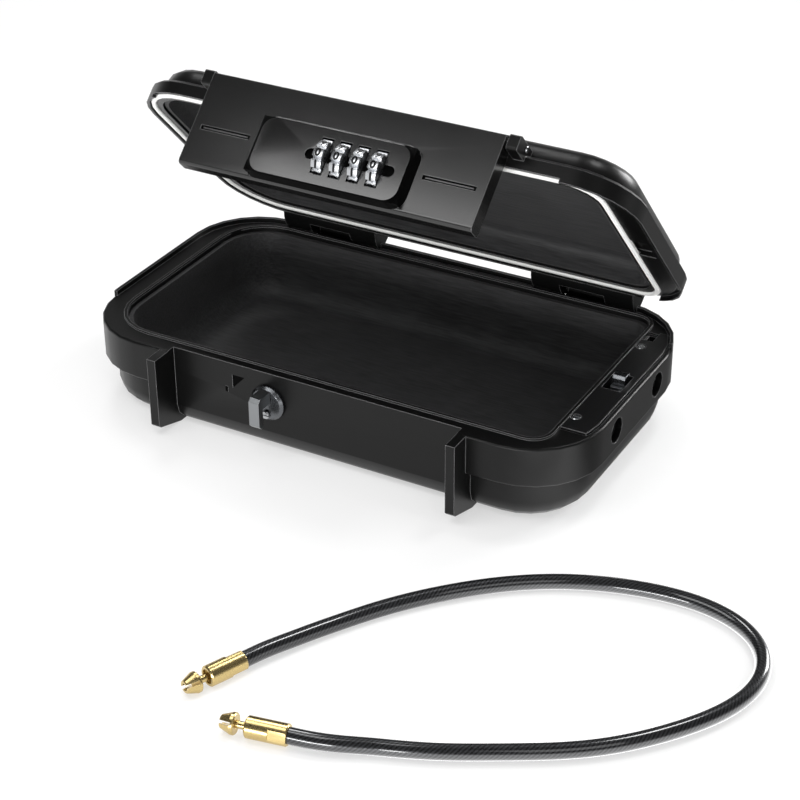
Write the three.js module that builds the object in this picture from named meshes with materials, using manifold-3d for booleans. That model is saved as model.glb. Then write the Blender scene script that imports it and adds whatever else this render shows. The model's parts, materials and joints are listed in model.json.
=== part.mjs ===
// Portable car safe: a moulded tray with a stepped lid, a lock flap with four number dials on the lid's
// front edge, and a loose security cable whose ends lock into the tray's right wall.
// Millimetres, +Z up, +X to the right, -Y to the front. The origin is the centre of the flat underside.
import * as THREE from 'three';
import { mergeVertices } from 'three/addons/utils/BufferGeometryUtils.js';
import Module from 'manifold-3d';

const wasm = await Module();
wasm.setup();

// Clearances and overruns
const gap = 0.3;
const runningGap = 0.4;
const overrun = 2;
const edgeRadius = 1.2;

// Tray: the band is the thick rim of the case, the tub hangs below it
const bandLeft = -125.5;
const bandRight = 125.5;
const bandFront = -70.5;
const bandBack = 66;
const bandRadius = 34;
const bandBottom = 21;
const bandTop = 40;
const tubSideInset = 5.5;
const tubFrontInset = 4.7;
const tubBackInset = 3.5;
const tubRadius = 30;
const tubFootRadius = 10;
const finInnerX = 73;
const finThickness = 4.4;
const finFront = -80.5;
const finBevelHeight = 4.7;
const finBevelDepth = 17;

// Tray cavity with its liner, and the seal lip round its mouth
const lipLeft = -115.15;
const lipRight = 109.2;
const lipFront = -61.7;
const lipBack = 61.7;
const lipLeftRadius = 25;
const lipRightRadius = 10;
const lipThickness = 1.6;
const lipHeight = 1;
const cavityFloor = 3;
const cavityDraft = 1.5;
const cavityFootRadius = 9;
const linerThickness = 2;
const linerDrop = 3;

// Thin rim wall along the left end and the back
const rimThickness = 1.6;
const rimHeight = 2.5;
const rimFrontEnd = -38;
const rimRightEnd = 39;

// Cable lock at the right end: compartment, cover, sockets, sliding keyhole plate, knob and leaf spring
const lockWall = 3.4;
const lockInnerWall = 1.2;
const lockLedge = 1.2;
const lockFloor = 22.5;
const lockFront = -45;
const lockBack = 47;
const coverThickness = 2;
const coverNotchWidth = 5.5;
const coverNotchLength = 9;
const socketCentreY = -1;
const socketPitch = 44;
const socketZ = 31.2;
const socketRadius = 5.8;
const bushRadius = 7.5;
const bushBore = 5.5;
const bushLength = 3;
const plateThickness = 1.8;
const plateEndMargin = 12;
const plateTop = 37;
const keyholeRadius = 5.7;
const keySlotHalf = 2.9;
const knobTravel = 6;
const knobWidth = 6;
const knobLength = 6;
const knobTop = 43.2;
const knobEndGap = 0.5;
const pocketWidth = 9;
const pocketLength = 14.5;
const pocketBack = 6.3;
const tabThickness = 1.6;
const leafThickness = 0.6;
const leafWidth = 6;
const leafLength = 16;
const coverScrewX = 112;
const coverScrewFrontY = -36;
const coverScrewBackY = 33;
const coverPostHalf = 3;
const smallScrewShank = 1.2;
const smallScrewHead = 2.1;
const smallScrewHeadHeight = 1.1;
const smallScrewLength = 8;
const screwRimShare = 0.6;
const screwCrownShare = 0.8;

// Striker on the front wall
const strikerX = -23;
const rosetteRadius = 8.5;
const rosetteZ = 25.5;
const rosetteThickness = 2.4;
const hookWidth = 5.2;
const hookPlateFront = -78.2;
const hookThickness = 3.3;
const hookTop = 32.8;
const hookBottom = 17.8;
const hookArmHeight = 5.8;
const hookBevel = 1.6;
const tangWidth = 3.4;
const tangHeight = 3.6;
const tangDepth = 1.6;
const strikerScrewZ = 20.6;
const strikerScrewLength = 4.5;
const markDepth = 1.6;
const triangleRightX = -35.4;
const triangleLeftX = -41.8;
const triangleTopZ = 34.2;
const triangleBottomZ = 27.4;
const tickX = -45.9;
const tickWidth = 1.4;
const tickTopZ = 27.3;
const tickBottomZ = 24.7;

// Lid hinge at the back
const hingeY = 72.6;
const hingeZ = 49.4;
const hingeCentreX = 2.2;
const hingeX = 68;
const hingePinRadius = 1.5;
const hubRadius = 5.5;
const hubLegBottom = 24;
const knuckleWidth = 20;
const knuckleSideGap = 1.2;
const earInnerX = 42;
const earOuterX = 94;
const earRadius = 13.2;
const earStartAngle = 219.5;
const earEndAngle = 288;
const openAngle = 46.7;

// Lid: stepped dome, skirt and seal seat, all in its closed place
const lidLeft = -117.2;
const lidRight = 125.5;
const lidFront = -64;
const lidBack = 64.2;
const lidLeftRadius = 28;
const lidFrontRightRadius = 28;
const lidBackRightRadius = 28;
const skirtThickness = 1.3;
const skirtBottom = 40.4;
const frontEdgeDepth = 6;
const lidRim = 42.1;
const lidBandTop = 49;
const domeInset = 4.9;
const domeRadius = 8;
const lidTop = 59.5;
const lidWall = 2.3;
const lidCavityRightInset = 1.8;
const lidCavityFoot = 6;
const sealWidth = 2.5;
const sealDepth = 1.2;
const sealLeft = -114.35;
const sealRight = 110.9;
const sealFront = -61;
const sealBack = 61;
const sealLeftRadius = 25;
const sealFrontRightRadius = 15;
const sealBackRightRadius = 12;
const knobRecessMargin = 2;

// Flap hinge on the lid's front edge
const flapAxisY = -72.3;
const flapAxisZ = 50.2;
const barrelRadius = 2.2;
const flapPinRadius = 1;
const flapCentreX = 2;
const flapFaceRise = 1;
const lidKnuckleLeft = -34.5;
const lidKnuckleRight = 35.5;
const lugSideGap = 0.7;
const lugThickness = 5;
const lugFront = -74.5;
const lugTop = 52.8;
const lugBottom = 46;
const lugScrewY = -66;
const lugScrewZ = 50.5;
const lugScrewRadius = 1.4;
const lugScrewLength = 4.4;
const lugScrewDome = 0.6;

// Flap with its raised lock pad, in its closed place
const flapHalfWidth = 70.6;
const flapFront = -75.8;
const flapBack = -67.3;
const flapBottom = 8;
const flapWall = 1.8;
const padWall = 1.5;
const flapCornerRadius = 2;
const stopPadTop = 46;
const stopPadBottom = 43;
const stopPadInnerX = 44;
const stopPadOuterX = 60;
const padHalfWidth = 38.6;
const padBottom = 8.9;
const padTop = 37.8;
const padFront = -79.8;
const padSideDraft = 2;
const padEndDraft = 1.2;
const padRadius = 6.5;
const padFaceShare = 1.6;
const grooveInnerX = 41.7;
const grooveOuterX = 66.4;
const grooveZ = 25.8;
const grooveHeight = 2;
const grooveDepth = 1;

// Number dials and the latch that they hold
const dialCount = 4;
const dialPitch = 8.7;
const dialRadius = 8.3;
const dialWidth = 4.8;
const dialBore = 1.8;
const dialNotchRadius = 0.8;
const dialDigits = 10;
const dialRowX = 11.8;
const dialAxisY = -76;
const dialZ = 23.5;
const dialSlotSide = 0.4;
const dialSlotEnd = 0.3;
const windowEnd = 5.75;
const windowHeight = 5;
const windowDepth = 0.7;
const windowEndShare = 0.99;
const pocketSide = 1.8;
const pocketEnd = 1.4;
const shaftRadius = 1.4;
const boltLeft = -23.6;
const boltRight = -16.3;
const boltFront = -74.6;
const boltBack = -70.5;
const boltHalfHeight = 2.5;
const boltTravel = 4;
const collarRadius = 1.9;
const collarThickness = 0.8;
const ribThickness = 1.3;
const guideRibLeft = -19.6;
const guideRibRight = -10.4;
const ribToDial = 0.75;
const bearingRibHalf = 5.5;
const springStrip = 0.35;
const springHalfHeight = 2.2;
const springFront = -73.9;
const springBack = -71.3;
const springFolds = 4;
const backCoverThickness = 1;
const backCoverMargin = 1.5;
const backPostHalf = 2.2;
const backBossDepth = 1.2;
const lockScrewShank = 0.9;
const lockScrewHead = 1.6;
const lockScrewHeadHeight = 0.8;
const lockScrewLength = 6;
const lockScrewSink = 1.4;
const rosetteRoom = 0.6;
const codeLeverX = 20;
const codeLeverZ = 32.1;
const codeLeverWidth = 3;
const codeLeverTravel = 3;
const codeLeverHead = 5;
const detentDrop = 1.1;
const detentFoot = 1.6;

// Loose security cable with its two brass ends
const cableRadius = 3.3;
const cableSides = 8;
const cableSteps = 40;
const ferruleRadius = 4.3;
const ferruleLength = 16.5;
const ferruleFlatLength = 8;
const ferruleFlatHalf = 3.7;
const neckRadius = 1.5;
const neckLength = 4.2;
const headRadius = 4.3;
const headLength = 6;
const headTipRadius = 2.6;
const headTipBore = 1.4;
const headTipDepth = 1.8;

// Facet counts
const cornerSteps = 6;
const filletSteps = 3;
const roundSides = 24;
const pinSides = 12;

const black = { color: '#1c1d1f', roughness: 0.42, metalness: 0 };
const lining = { color: '#161617', roughness: 0.95, metalness: 0 };
const whiteRubber = { color: '#f4f4f2', roughness: 0.7, metalness: 0 };
const chrome = { color: '#d9dadc', roughness: 0.12, metalness: 1 };
const steel = { color: '#a9abad', roughness: 0.3, metalness: 1 };
const brass = { color: '#d9ae55', roughness: 0.22, metalness: 1 };
const vinyl = { color: '#26282a', roughness: 0.2, metalness: 0 };

// Shapes

function solid(geometry) {
  const plain = geometry.index ? geometry.toNonIndexed() : geometry.clone();
  plain.deleteAttribute('normal');
  plain.deleteAttribute('uv');
  const merged = mergeVertices(plain);
  const vertProperties = new Float32Array(merged.attributes.position.array);
  const triVerts = new Uint32Array(merged.index.array);
  return new wasm.Manifold(new wasm.Mesh({ numProp: 3, vertProperties, triVerts }));
}

function toGeometry(manifold) {
  const mesh = manifold.getMesh();
  const geometry = new THREE.BufferGeometry();
  geometry.setAttribute('position', new THREE.BufferAttribute(mesh.vertProperties, 3));
  geometry.setIndex(new THREE.BufferAttribute(mesh.triVerts, 1));
  geometry.computeVertexNormals();
  return geometry;
}

function box(x0, x1, y0, y1, z0, z1) {
  const geometry = new THREE.BoxGeometry(x1 - x0, y1 - y0, z1 - z0);
  geometry.translate((x0 + x1) / 2, (y0 + y1) / 2, (z0 + z1) / 2);
  return solid(geometry);
}

function shapeOf(points) {
  return new THREE.Shape(points.map(([u, v]) => new THREE.Vector2(u, v)));
}

function extrude(shape, depth, xAxis, yAxis, zAxis, origin) {
  const settings = { depth, bevelEnabled: false, curveSegments: roundSides / 4 };
  const geometry = new THREE.ExtrudeGeometry(shape, settings);
  const place = new THREE.Matrix4().makeBasis(xAxis, yAxis, zAxis);
  geometry.applyMatrix4(place.setPosition(origin));
  return solid(geometry);
}

const alongX = new THREE.Vector3(1, 0, 0);
const alongY = new THREE.Vector3(0, 1, 0);
const alongZ = new THREE.Vector3(0, 0, 1);

// A profile of (y, z) points drawn out from x0 to x1
function extrudeX(shape, x0, x1) {
  return extrude(shape, x1 - x0, alongY, alongZ, alongX, new THREE.Vector3(x0, 0, 0));
}

// A profile of (x, z) points drawn out from y0 to y1
function extrudeY(shape, y0, y1) {
  const towardsFront = alongY.clone().negate();
  return extrude(shape, y1 - y0, alongX, alongZ, towardsFront, new THREE.Vector3(0, y1, 0));
}

// A profile of (x, y) points drawn out from z0 to z1
function extrudeZ(shape, z0, z1) {
  return extrude(shape, z1 - z0, alongX, alongY, alongZ, new THREE.Vector3(0, 0, z0));
}

// A round bar along X, Y or Z, from one end to the other
function bar(axis, radius, from, to, u, v, sides = pinSides) {
  const geometry = new THREE.CylinderGeometry(radius, radius, to - from, sides);
  const middle = (from + to) / 2;
  if (axis === 'x') geometry.rotateZ(-Math.PI / 2).translate(middle, u, v);
  if (axis === 'y') geometry.translate(u, middle, v);
  if (axis === 'z') geometry.rotateX(Math.PI / 2).translate(u, v, middle);
  return solid(geometry);
}

// A turned piece: the profile is (radius, height) points that start and end on the axis, or close on themselves
function turned(profile, axis, sides = roundSides) {
  const geometry = new THREE.LatheGeometry(profile.map(([r, h]) => new THREE.Vector2(r, h)), sides);
  if (axis === 'x') geometry.rotateZ(-Math.PI / 2);
  if (axis === 'z') geometry.rotateX(Math.PI / 2);
  return geometry;
}

// A rectangle in plan with four corner radii: front left, front right, back right, back left
function plan(left, right, front, back, radii) {
  return { left, right, front, back, radii };
}

function insetPoints(outline, inset) {
  const { left, right, front, back, radii } = outline;
  const corners = [[left, front, 1, 1], [right, front, -1, 1], [right, back, -1, -1], [left, back, 1, -1]];
  const points = [];
  corners.forEach(([x, y, inX, inY], corner) => {
    const radius = Math.max(radii[corner] - inset, edgeRadius / 2);
    const centreX = x + inX * (radius + inset);
    const centreY = y + inY * (radius + inset);
    const start = Math.PI * (1 + corner / 2);
    for (let step = 0; step <= cornerSteps; step += 1) {
      const angle = start + (Math.PI / 2) * (step / cornerSteps);
      points.push([centreX + radius * Math.cos(angle), centreY + radius * Math.sin(angle)]);
    }
  });
  return points;
}

// Skin through rings of equal length: open stacks get flat caps, closed ones join last to first
function skin(rings, closed) {
  const count = rings[0].length;
  const positions = [];
  const push = (...corners) => corners.forEach((corner) => positions.push(...corner));
  const last = closed ? rings.length : rings.length - 1;
  for (let ring = 0; ring < last; ring += 1) {
    const lower = rings[ring];
    const upper = rings[(ring + 1) % rings.length];
    for (let point = 0; point < count; point += 1) {
      const next = (point + 1) % count;
      push(lower[point], lower[next], upper[next]);
      push(lower[point], upper[next], upper[point]);
    }
  }
  for (let point = 1; !closed && point < count - 1; point += 1) {
    const top = rings[rings.length - 1];
    push(rings[0][0], rings[0][point + 1], rings[0][point]);
    push(top[0], top[point], top[point + 1]);
  }
  const geometry = new THREE.BufferGeometry();
  geometry.setAttribute('position', new THREE.Float32BufferAttribute(positions, 3));
  return geometry;
}

function ring(outline, [inset, z]) {
  return insetPoints(outline, inset).map(([x, y]) => [x, y, z]);
}

// A solid whose plan is the outline drawn in by the inset at each height
function loft(outline, levels) {
  return solid(skin(levels.map((level) => ring(outline, level)), false));
}

// A frame whose section of (inset, z) points runs round the outline: outer wall upwards, inner wall down
function frame(outline, section) {
  return solid(skin(section.map((level) => ring(outline, level)), true));
}

// Levels of a quarter round between a flat face below and an upright wall
function foot(inset, z, radius) {
  const levels = [];
  for (let step = 0; step <= filletSteps; step += 1) {
    const angle = (Math.PI / 2) * (step / filletSteps);
    levels.push([inset + radius * (1 - Math.sin(angle)), z + radius * (1 - Math.cos(angle))]);
  }
  return levels;
}

// Levels of a quarter round between an upright wall and a flat face above
function crown(inset, z, radius) {
  const levels = [];
  for (let step = 0; step <= filletSteps; step += 1) {
    const angle = (Math.PI / 2) * (step / filletSteps);
    levels.push([inset + radius * (1 - Math.cos(angle)), z - radius * (1 - Math.sin(angle))]);
  }
  return levels;
}

function roundedShape(u0, u1, v0, v1, radius) {
  const shape = new THREE.Shape();
  shape.moveTo(u0 + radius, v0);
  shape.lineTo(u1 - radius, v0);
  shape.absarc(u1 - radius, v0 + radius, radius, -Math.PI / 2, 0);
  shape.lineTo(u1, v1 - radius);
  shape.absarc(u1 - radius, v1 - radius, radius, 0, Math.PI / 2);
  shape.lineTo(u0 + radius, v1);
  shape.absarc(u0 + radius, v1 - radius, radius, Math.PI / 2, Math.PI);
  shape.lineTo(u0, v0 + radius);
  shape.absarc(u0 + radius, v0 + radius, radius, Math.PI, 1.5 * Math.PI);
  return shape;
}

// The ends, lower first, of a stretch that lies to one side of a middle line
function span(side, inner, outer, middle = 0) {
  const ends = [middle + side * inner, middle + side * outer];
  return [Math.min(...ends), Math.max(...ends)];
}

function add(group, name, shape, finish) {
  const geometry = shape.isBufferGeometry ? shape : toGeometry(shape);
  const mesh = new THREE.Mesh(geometry, new THREE.MeshStandardMaterial(finish));
  mesh.name = name;
  group.add(mesh);
  return mesh;
}

// Plans that several pieces share

const bandRadii = [bandRadius, bandRadius, bandRadius, bandRadius];
const bandPlan = plan(bandLeft, bandRight, bandFront, bandBack, bandRadii);
const tubRadii = [tubRadius, tubRadius, tubRadius, tubRadius];
const tubPlan = plan(
  bandLeft + tubSideInset,
  bandRight - tubSideInset,
  bandFront + tubFrontInset,
  bandBack - tubBackInset,
  tubRadii,
);
const lipRadii = [lipLeftRadius, lipRightRadius, lipRightRadius, lipLeftRadius];
const lipPlan = plan(lipLeft, lipRight, lipFront, lipBack, lipRadii);
const lidRadii = [lidLeftRadius, lidFrontRightRadius, lidBackRightRadius, lidLeftRadius];
const lidPlan = plan(lidLeft, lidRight, lidFront, lidBack, lidRadii);
const sealRadii = [sealLeftRadius, sealFrontRightRadius, sealBackRightRadius, sealLeftRadius];
const sealPlan = plan(sealLeft, sealRight, sealFront, sealBack, sealRadii);
const bayWallY = bandFront + tubFrontInset;
const lipTop = bandTop + lipHeight;

// Tray

function cavityLevels(clear, top) {
  const floorInset = lipThickness + cavityDraft + clear;
  const levels = foot(floorInset, cavityFloor + clear, cavityFootRadius);
  levels.push([lipThickness + clear, top]);
  return levels;
}

function hub(bottomY, bottomZ) {
  const shape = new THREE.Shape();
  shape.moveTo(bandBack - overrun, bottomZ);
  shape.lineTo(bottomY, bottomZ + overrun);
  shape.lineTo(hingeY + hubRadius, hingeZ - hubRadius);
  shape.lineTo(hingeY + hubRadius, hingeZ);
  shape.absarc(hingeY, hingeZ, hubRadius, 0, Math.PI);
  shape.lineTo(hingeY - hubRadius, bandTop - earRadius / 2);
  shape.lineTo(bandBack - overrun, bandTop - earRadius / 2);
  return shape;
}

// The rim wall, or with a clearance the room that the lid leaves for it
function makeRim(clear) {
  const bottom = bandTop - edgeRadius;
  const top = bandTop + rimHeight + clear;
  const inner = rimThickness + clear;
  const rim = frame(bandPlan, [[-clear, bottom], [-clear, top], [inner, top], [inner, bottom]]);
  const across = [bandLeft - overrun, bandRight + overrun];
  const front = box(...across, finFront, rimFrontEnd - clear, 0, lidTop);
  const right = box(lipRight - bandRadius, across[1], finFront, rimRightEnd - clear, 0, lidTop);
  return rim.subtract(front).subtract(right);
}

function makeBase() {
  let base = loft(bandPlan, [...foot(0, bandBottom, edgeRadius), ...crown(0, bandTop, edgeRadius)]);
  base = base.subtract(box(-finInnerX, finInnerX, finFront, bayWallY, 0, lipTop));
  base = base.add(loft(tubPlan, [...foot(0, 0, tubFootRadius), [0, bandTop - edgeRadius]]));
  base = base.add(makeRim(0));
  const lipRoot = bandTop - overrun;
  const lipSection = [[0, lipRoot], [0, lipTop], [lipThickness, lipTop], [lipThickness, lipRoot]];
  base = base.add(frame(lipPlan, lipSection));
  base = base.subtract(loft(lipPlan, cavityLevels(0, lipTop + overrun)));
  for (const side of [-1, 1]) {
    const finBack = finFront + finBevelDepth + overrun;
    const footBack = bayWallY + tubFootRadius - overrun;
    const profile = shapeOf([
      [finFront + finBevelDepth, 0],
      [footBack, 0],
      [finBack, finBevelHeight],
      [finBack, bandTop - gap],
      [finFront, bandTop - gap],
      [finFront, finBevelHeight + edgeRadius],
      [finFront + edgeRadius, finBevelHeight],
    ]);
    base = base.add(extrudeX(profile, ...span(side, finInnerX, finInnerX + finThickness)));
  }
  base = base.subtract(strikerCuts()).subtract(lockCuts());
  return hingeMounts(base);
}

function hingeMounts(base) {
  let result = base;
  for (const side of [-1, 1]) {
    const [x0, x1] = span(side, earInnerX - runningGap, earOuterX + runningGap, hingeCentreX);
    result = result.subtract(bar('x', earRadius + runningGap, x0, x1, hingeY, hingeZ, 2 * roundSides));
    const middle = hingeCentreX + side * hingeX;
    const leg = hub(bandBack + overrun, hubLegBottom);
    result = result.add(extrudeX(leg, middle - knuckleWidth / 2, middle + knuckleWidth / 2));
    const bore = hingePinRadius + gap;
    const half = knuckleWidth / 2 + overrun;
    result = result.subtract(bar('x', bore, middle - half, middle + half, hingeY, hingeZ));
  }
  return result;
}

// The recesses that the striker needs in the front wall: tang pocket, screw hole and the two moulded marks
function strikerCuts() {
  const tangZ = rosetteZ + rosetteRadius / 2;
  const tangHalf = tangWidth / 2 + gap;
  const tangRise = tangHeight / 2 + gap;
  const tangFront = bayWallY - overrun;
  let cuts = box(
    strikerX - tangHalf,
    strikerX + tangHalf,
    tangFront,
    bayWallY + tangDepth,
    tangZ - tangRise,
    tangZ + tangRise,
  );
  const hole = smallScrewShank + gap;
  cuts = cuts.add(bar('y', hole, tangFront, bayWallY + strikerScrewLength, strikerX, strikerScrewZ));
  const triangle = shapeOf([
    [triangleLeftX, triangleTopZ],
    [triangleLeftX, triangleBottomZ],
    [triangleRightX, triangleTopZ],
  ]);
  cuts = cuts.add(extrudeY(triangle, tangFront, bayWallY + markDepth));
  return cuts.add(box(tickX, tickX + tickWidth, tangFront, bayWallY + markDepth, tickBottomZ, tickTopZ));
}

// Cable lock

const lockInnerX = lipRight + lockInnerWall;
const lockOuterX = bandRight - lockWall;
const coverLeft = lipRight + gap;
const coverRight = lockOuterX + lockLedge - gap;
const coverFront = lockFront - lockLedge;
const coverBack = lockBack + lockLedge;
const coverBottom = lipTop - coverThickness;
const socketYs = [socketCentreY - socketPitch / 2, socketCentreY + socketPitch / 2];
const plateRight = lockOuterX - gap - bushLength - gap;
const plateLeft = plateRight - plateThickness;
const pocketX = (lockInnerX + lockOuterX - edgeRadius) / 2;
const pocketFront = pocketBack - pocketLength;
const knobY = pocketBack - knobEndGap - knobLength / 2;
const screwYs = [coverScrewFrontY, coverScrewBackY];

function lockRegion(inset, front, back, left, z0, z1) {
  const inside = loft(bandPlan, [[inset, z0], [inset, z1]]);
  return inside.intersect(box(left, bandRight, front, back, z0, z1));
}

function lockCuts() {
  const mouth = lipTop + overrun;
  let room = lockRegion(lockWall, lockFront, lockBack, lockInnerX, lockFloor, mouth);
  for (const y of screwYs) {
    const half = coverPostHalf;
    const post = box(lockInnerX - overrun, coverScrewX + half, y - half, y + half, 0, coverBottom);
    const depth = coverBottom - smallScrewLength;
    const hole = bar('z', smallScrewShank + gap, depth, coverBottom + overrun, coverScrewX, y);
    room = room.subtract(post).add(hole);
  }
  const wall = lockWall - lockLedge;
  room = room.add(lockRegion(wall, coverFront - gap, coverBack + gap, lipRight, coverBottom, mouth));
  for (const y of socketYs) {
    room = room.add(bar('x', socketRadius, lockOuterX - overrun, bandRight + overrun, y, socketZ, roundSides));
  }
  return room;
}

function makeCover() {
  const wall = lockWall - lockLedge + gap;
  let cover = lockRegion(wall, coverFront, coverBack, coverLeft, coverBottom + gap, lipTop);
  const notchFront = coverBack - coverNotchLength;
  const notchRight = coverLeft + coverNotchWidth;
  cover = cover.subtract(box(lipRight, notchRight, notchFront, coverBack + overrun, 0, lidTop));
  const half = pocketWidth / 2;
  cover = cover.subtract(box(pocketX - half, pocketX + half, pocketFront, pocketBack, 0, lidTop));
  for (const y of screwYs) {
    cover = cover.subtract(bar('z', smallScrewShank + gap, 0, lidTop, coverScrewX, y));
    const seat = lipTop - smallScrewHeadHeight - gap;
    cover = cover.subtract(bar('z', smallScrewHead + gap, seat, lidTop, coverScrewX, y));
  }
  return cover;
}

function screwSolid(shank, head, headHeight, length) {
  const slotHalf = head / 8;
  const profile = [
    [0, -length],
    [shank, -length],
    [shank, 0],
    [head, 0],
    [head, headHeight * screwRimShare],
    [head * screwCrownShare, headHeight],
    [0, headHeight],
  ];
  const body = solid(turned(profile, 'z', pinSides));
  const slot = box(-head, head, -slotHalf, slotHalf, headHeight / 2, headHeight + overrun);
  return body.subtract(slot);
}

function makePlate() {
  const front = socketYs[0] - plateEndMargin;
  const back = socketYs[1] + plateEndMargin;
  let plate = box(plateLeft, plateRight, front, back, lockFloor + gap, plateTop);
  const through = [plateLeft - overrun, plateRight + overrun];
  for (const y of socketYs) {
    plate = plate.subtract(bar('x', keyholeRadius, through[0], through[1], y, socketZ, roundSides));
    plate = plate.subtract(bar('x', keySlotHalf, through[0], through[1], y + knobTravel, socketZ, roundSides));
    const slot = [y, y + knobTravel, socketZ - keySlotHalf, socketZ + keySlotHalf];
    plate = plate.subtract(box(through[0], through[1], ...slot));
  }
  const tabTop = coverBottom - gap;
  const left = pocketX - knobWidth / 2;
  const tabFront = knobY - knobLength / 2 - overrun;
  const tabBack = knobY + knobLength / 2 + overrun;
  const tab = box(left, plateRight, tabFront, tabBack, tabTop - tabThickness, tabTop);
  const riser = box(plateLeft, plateRight, tabFront, tabBack, plateTop - overrun, tabTop);
  return plate.add(tab).add(riser);
}

function makeKnob() {
  const profile = shapeOf([
    [-knobLength / 2, coverBottom],
    [knobLength / 2, coverBottom],
    [knobLength / 2, knobTop - edgeRadius],
    [knobLength / 2 - edgeRadius, knobTop],
    [edgeRadius - knobLength / 2, knobTop],
    [-knobLength / 2, knobTop - edgeRadius],
  ]);
  return extrudeX(profile, pocketX - knobWidth / 2, pocketX + knobWidth / 2);
}

// Leaf spring between the room's inner wall and the plate, with a bump that presses on the plate
function makeLeaf() {
  const wallX = lockInnerX + gap;
  const bumpX = plateLeft - gap;
  const middle = socketCentreY;
  const end = leafLength / 2;
  const outer = [[wallX, middle - end], [bumpX - leafThickness, middle - leafThickness],
    [bumpX - leafThickness, middle + leafThickness], [wallX, middle + end]];
  const inner = outer.map(([x, y]) => [x + leafThickness, y]).toReversed();
  const half = leafWidth / 2;
  return extrudeZ(shapeOf([...outer, ...inner].toReversed()), socketZ - half, socketZ + half);
}

// Striker

function makeRosette() {
  const back = bayWallY - gap;
  const front = back - rosetteThickness;
  const half = rosetteThickness / 2;
  const profile = [
    [0, -half],
    [rosetteRadius - edgeRadius, -half],
    [rosetteRadius, -half + edgeRadius],
    [rosetteRadius, half],
    [0, half],
  ];
  const disc = turned(profile, 'y');
  disc.translate(strikerX, (front + back) / 2, rosetteZ);
  const tangZ = rosetteZ + rosetteRadius / 2;
  const tangHalf = tangWidth / 2 + gap;
  const tangRise = tangHeight / 2 + gap;
  const through = [front - overrun, back + overrun];
  const slot = [strikerX - tangHalf, strikerX + tangHalf, ...through, tangZ - tangRise, tangZ + tangRise];
  const hole = bar('y', smallScrewShank + gap, ...through, strikerX, strikerScrewZ);
  return solid(disc).subtract(box(...slot)).subtract(hole);
}

const rosetteFront = bayWallY - gap - rosetteThickness;

function makeHook() {
  const tangZ = rosetteZ + rosetteRadius / 2;
  const plateBack = hookPlateFront + hookThickness;
  const armBottom = hookTop - hookArmHeight;
  const armBack = rosetteFront - gap;
  const profile = shapeOf([
    [hookPlateFront, hookBottom + hookBevel],
    [hookPlateFront + hookBevel, hookBottom],
    [plateBack, hookBottom],
    [plateBack, armBottom],
    [armBack, armBottom],
    [armBack, hookTop],
    [hookPlateFront + hookBevel, hookTop],
    [hookPlateFront, hookTop - hookBevel],
  ]);
  const hook = extrudeX(profile, strikerX - hookWidth / 2, strikerX + hookWidth / 2);
  const tangBack = bayWallY + tangDepth - gap;
  const tangHalf = tangWidth / 2;
  const tangRise = tangHeight / 2;
  const tang = [armBack - overrun, tangBack, tangZ - tangRise, tangZ + tangRise];
  return hook.add(box(strikerX - tangHalf, strikerX + tangHalf, ...tang));
}

// Lid

const lugInnerX = flapHalfWidth + lugSideGap;
const lugOuterX = lugInnerX + lugThickness;
const dome = [[domeInset, lidBandTop], ...crown(domeInset, lidTop, domeRadius)];
const lidCavityPlan = plan(
  lidLeft + domeInset + lidWall,
  sealRight - sealWidth / 2 - lidCavityRightInset,
  lidFront + domeInset + lidWall,
  lidBack - domeInset - lidWall,
  [
    lidLeftRadius - domeInset - lidWall,
    sealFrontRightRadius,
    sealBackRightRadius,
    lidLeftRadius - domeInset - lidWall,
  ],
);

function lidCavityLevels(inset, bottom) {
  return [[inset, bottom], ...crown(inset, lidTop - lidWall - inset, lidCavityFoot)];
}

function earProfile() {
  const shape = new THREE.Shape();
  const start = THREE.MathUtils.degToRad(earStartAngle);
  const end = THREE.MathUtils.degToRad(earEndAngle);
  shape.absarc(hingeY, hingeZ, earRadius, start, end);
  shape.lineTo(hingeY + hubRadius, hingeZ);
  shape.absarc(hingeY, hingeZ, hubRadius, 0, Math.PI / 2);
  shape.lineTo(lidBack - domeInset - overrun / 2, hingeZ + hubRadius);
  shape.lineTo(lidBack - domeInset - overrun / 2, lidRim + overrun);
  shape.lineTo(lidBack - overrun, lidRim);
  return shape;
}

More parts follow.
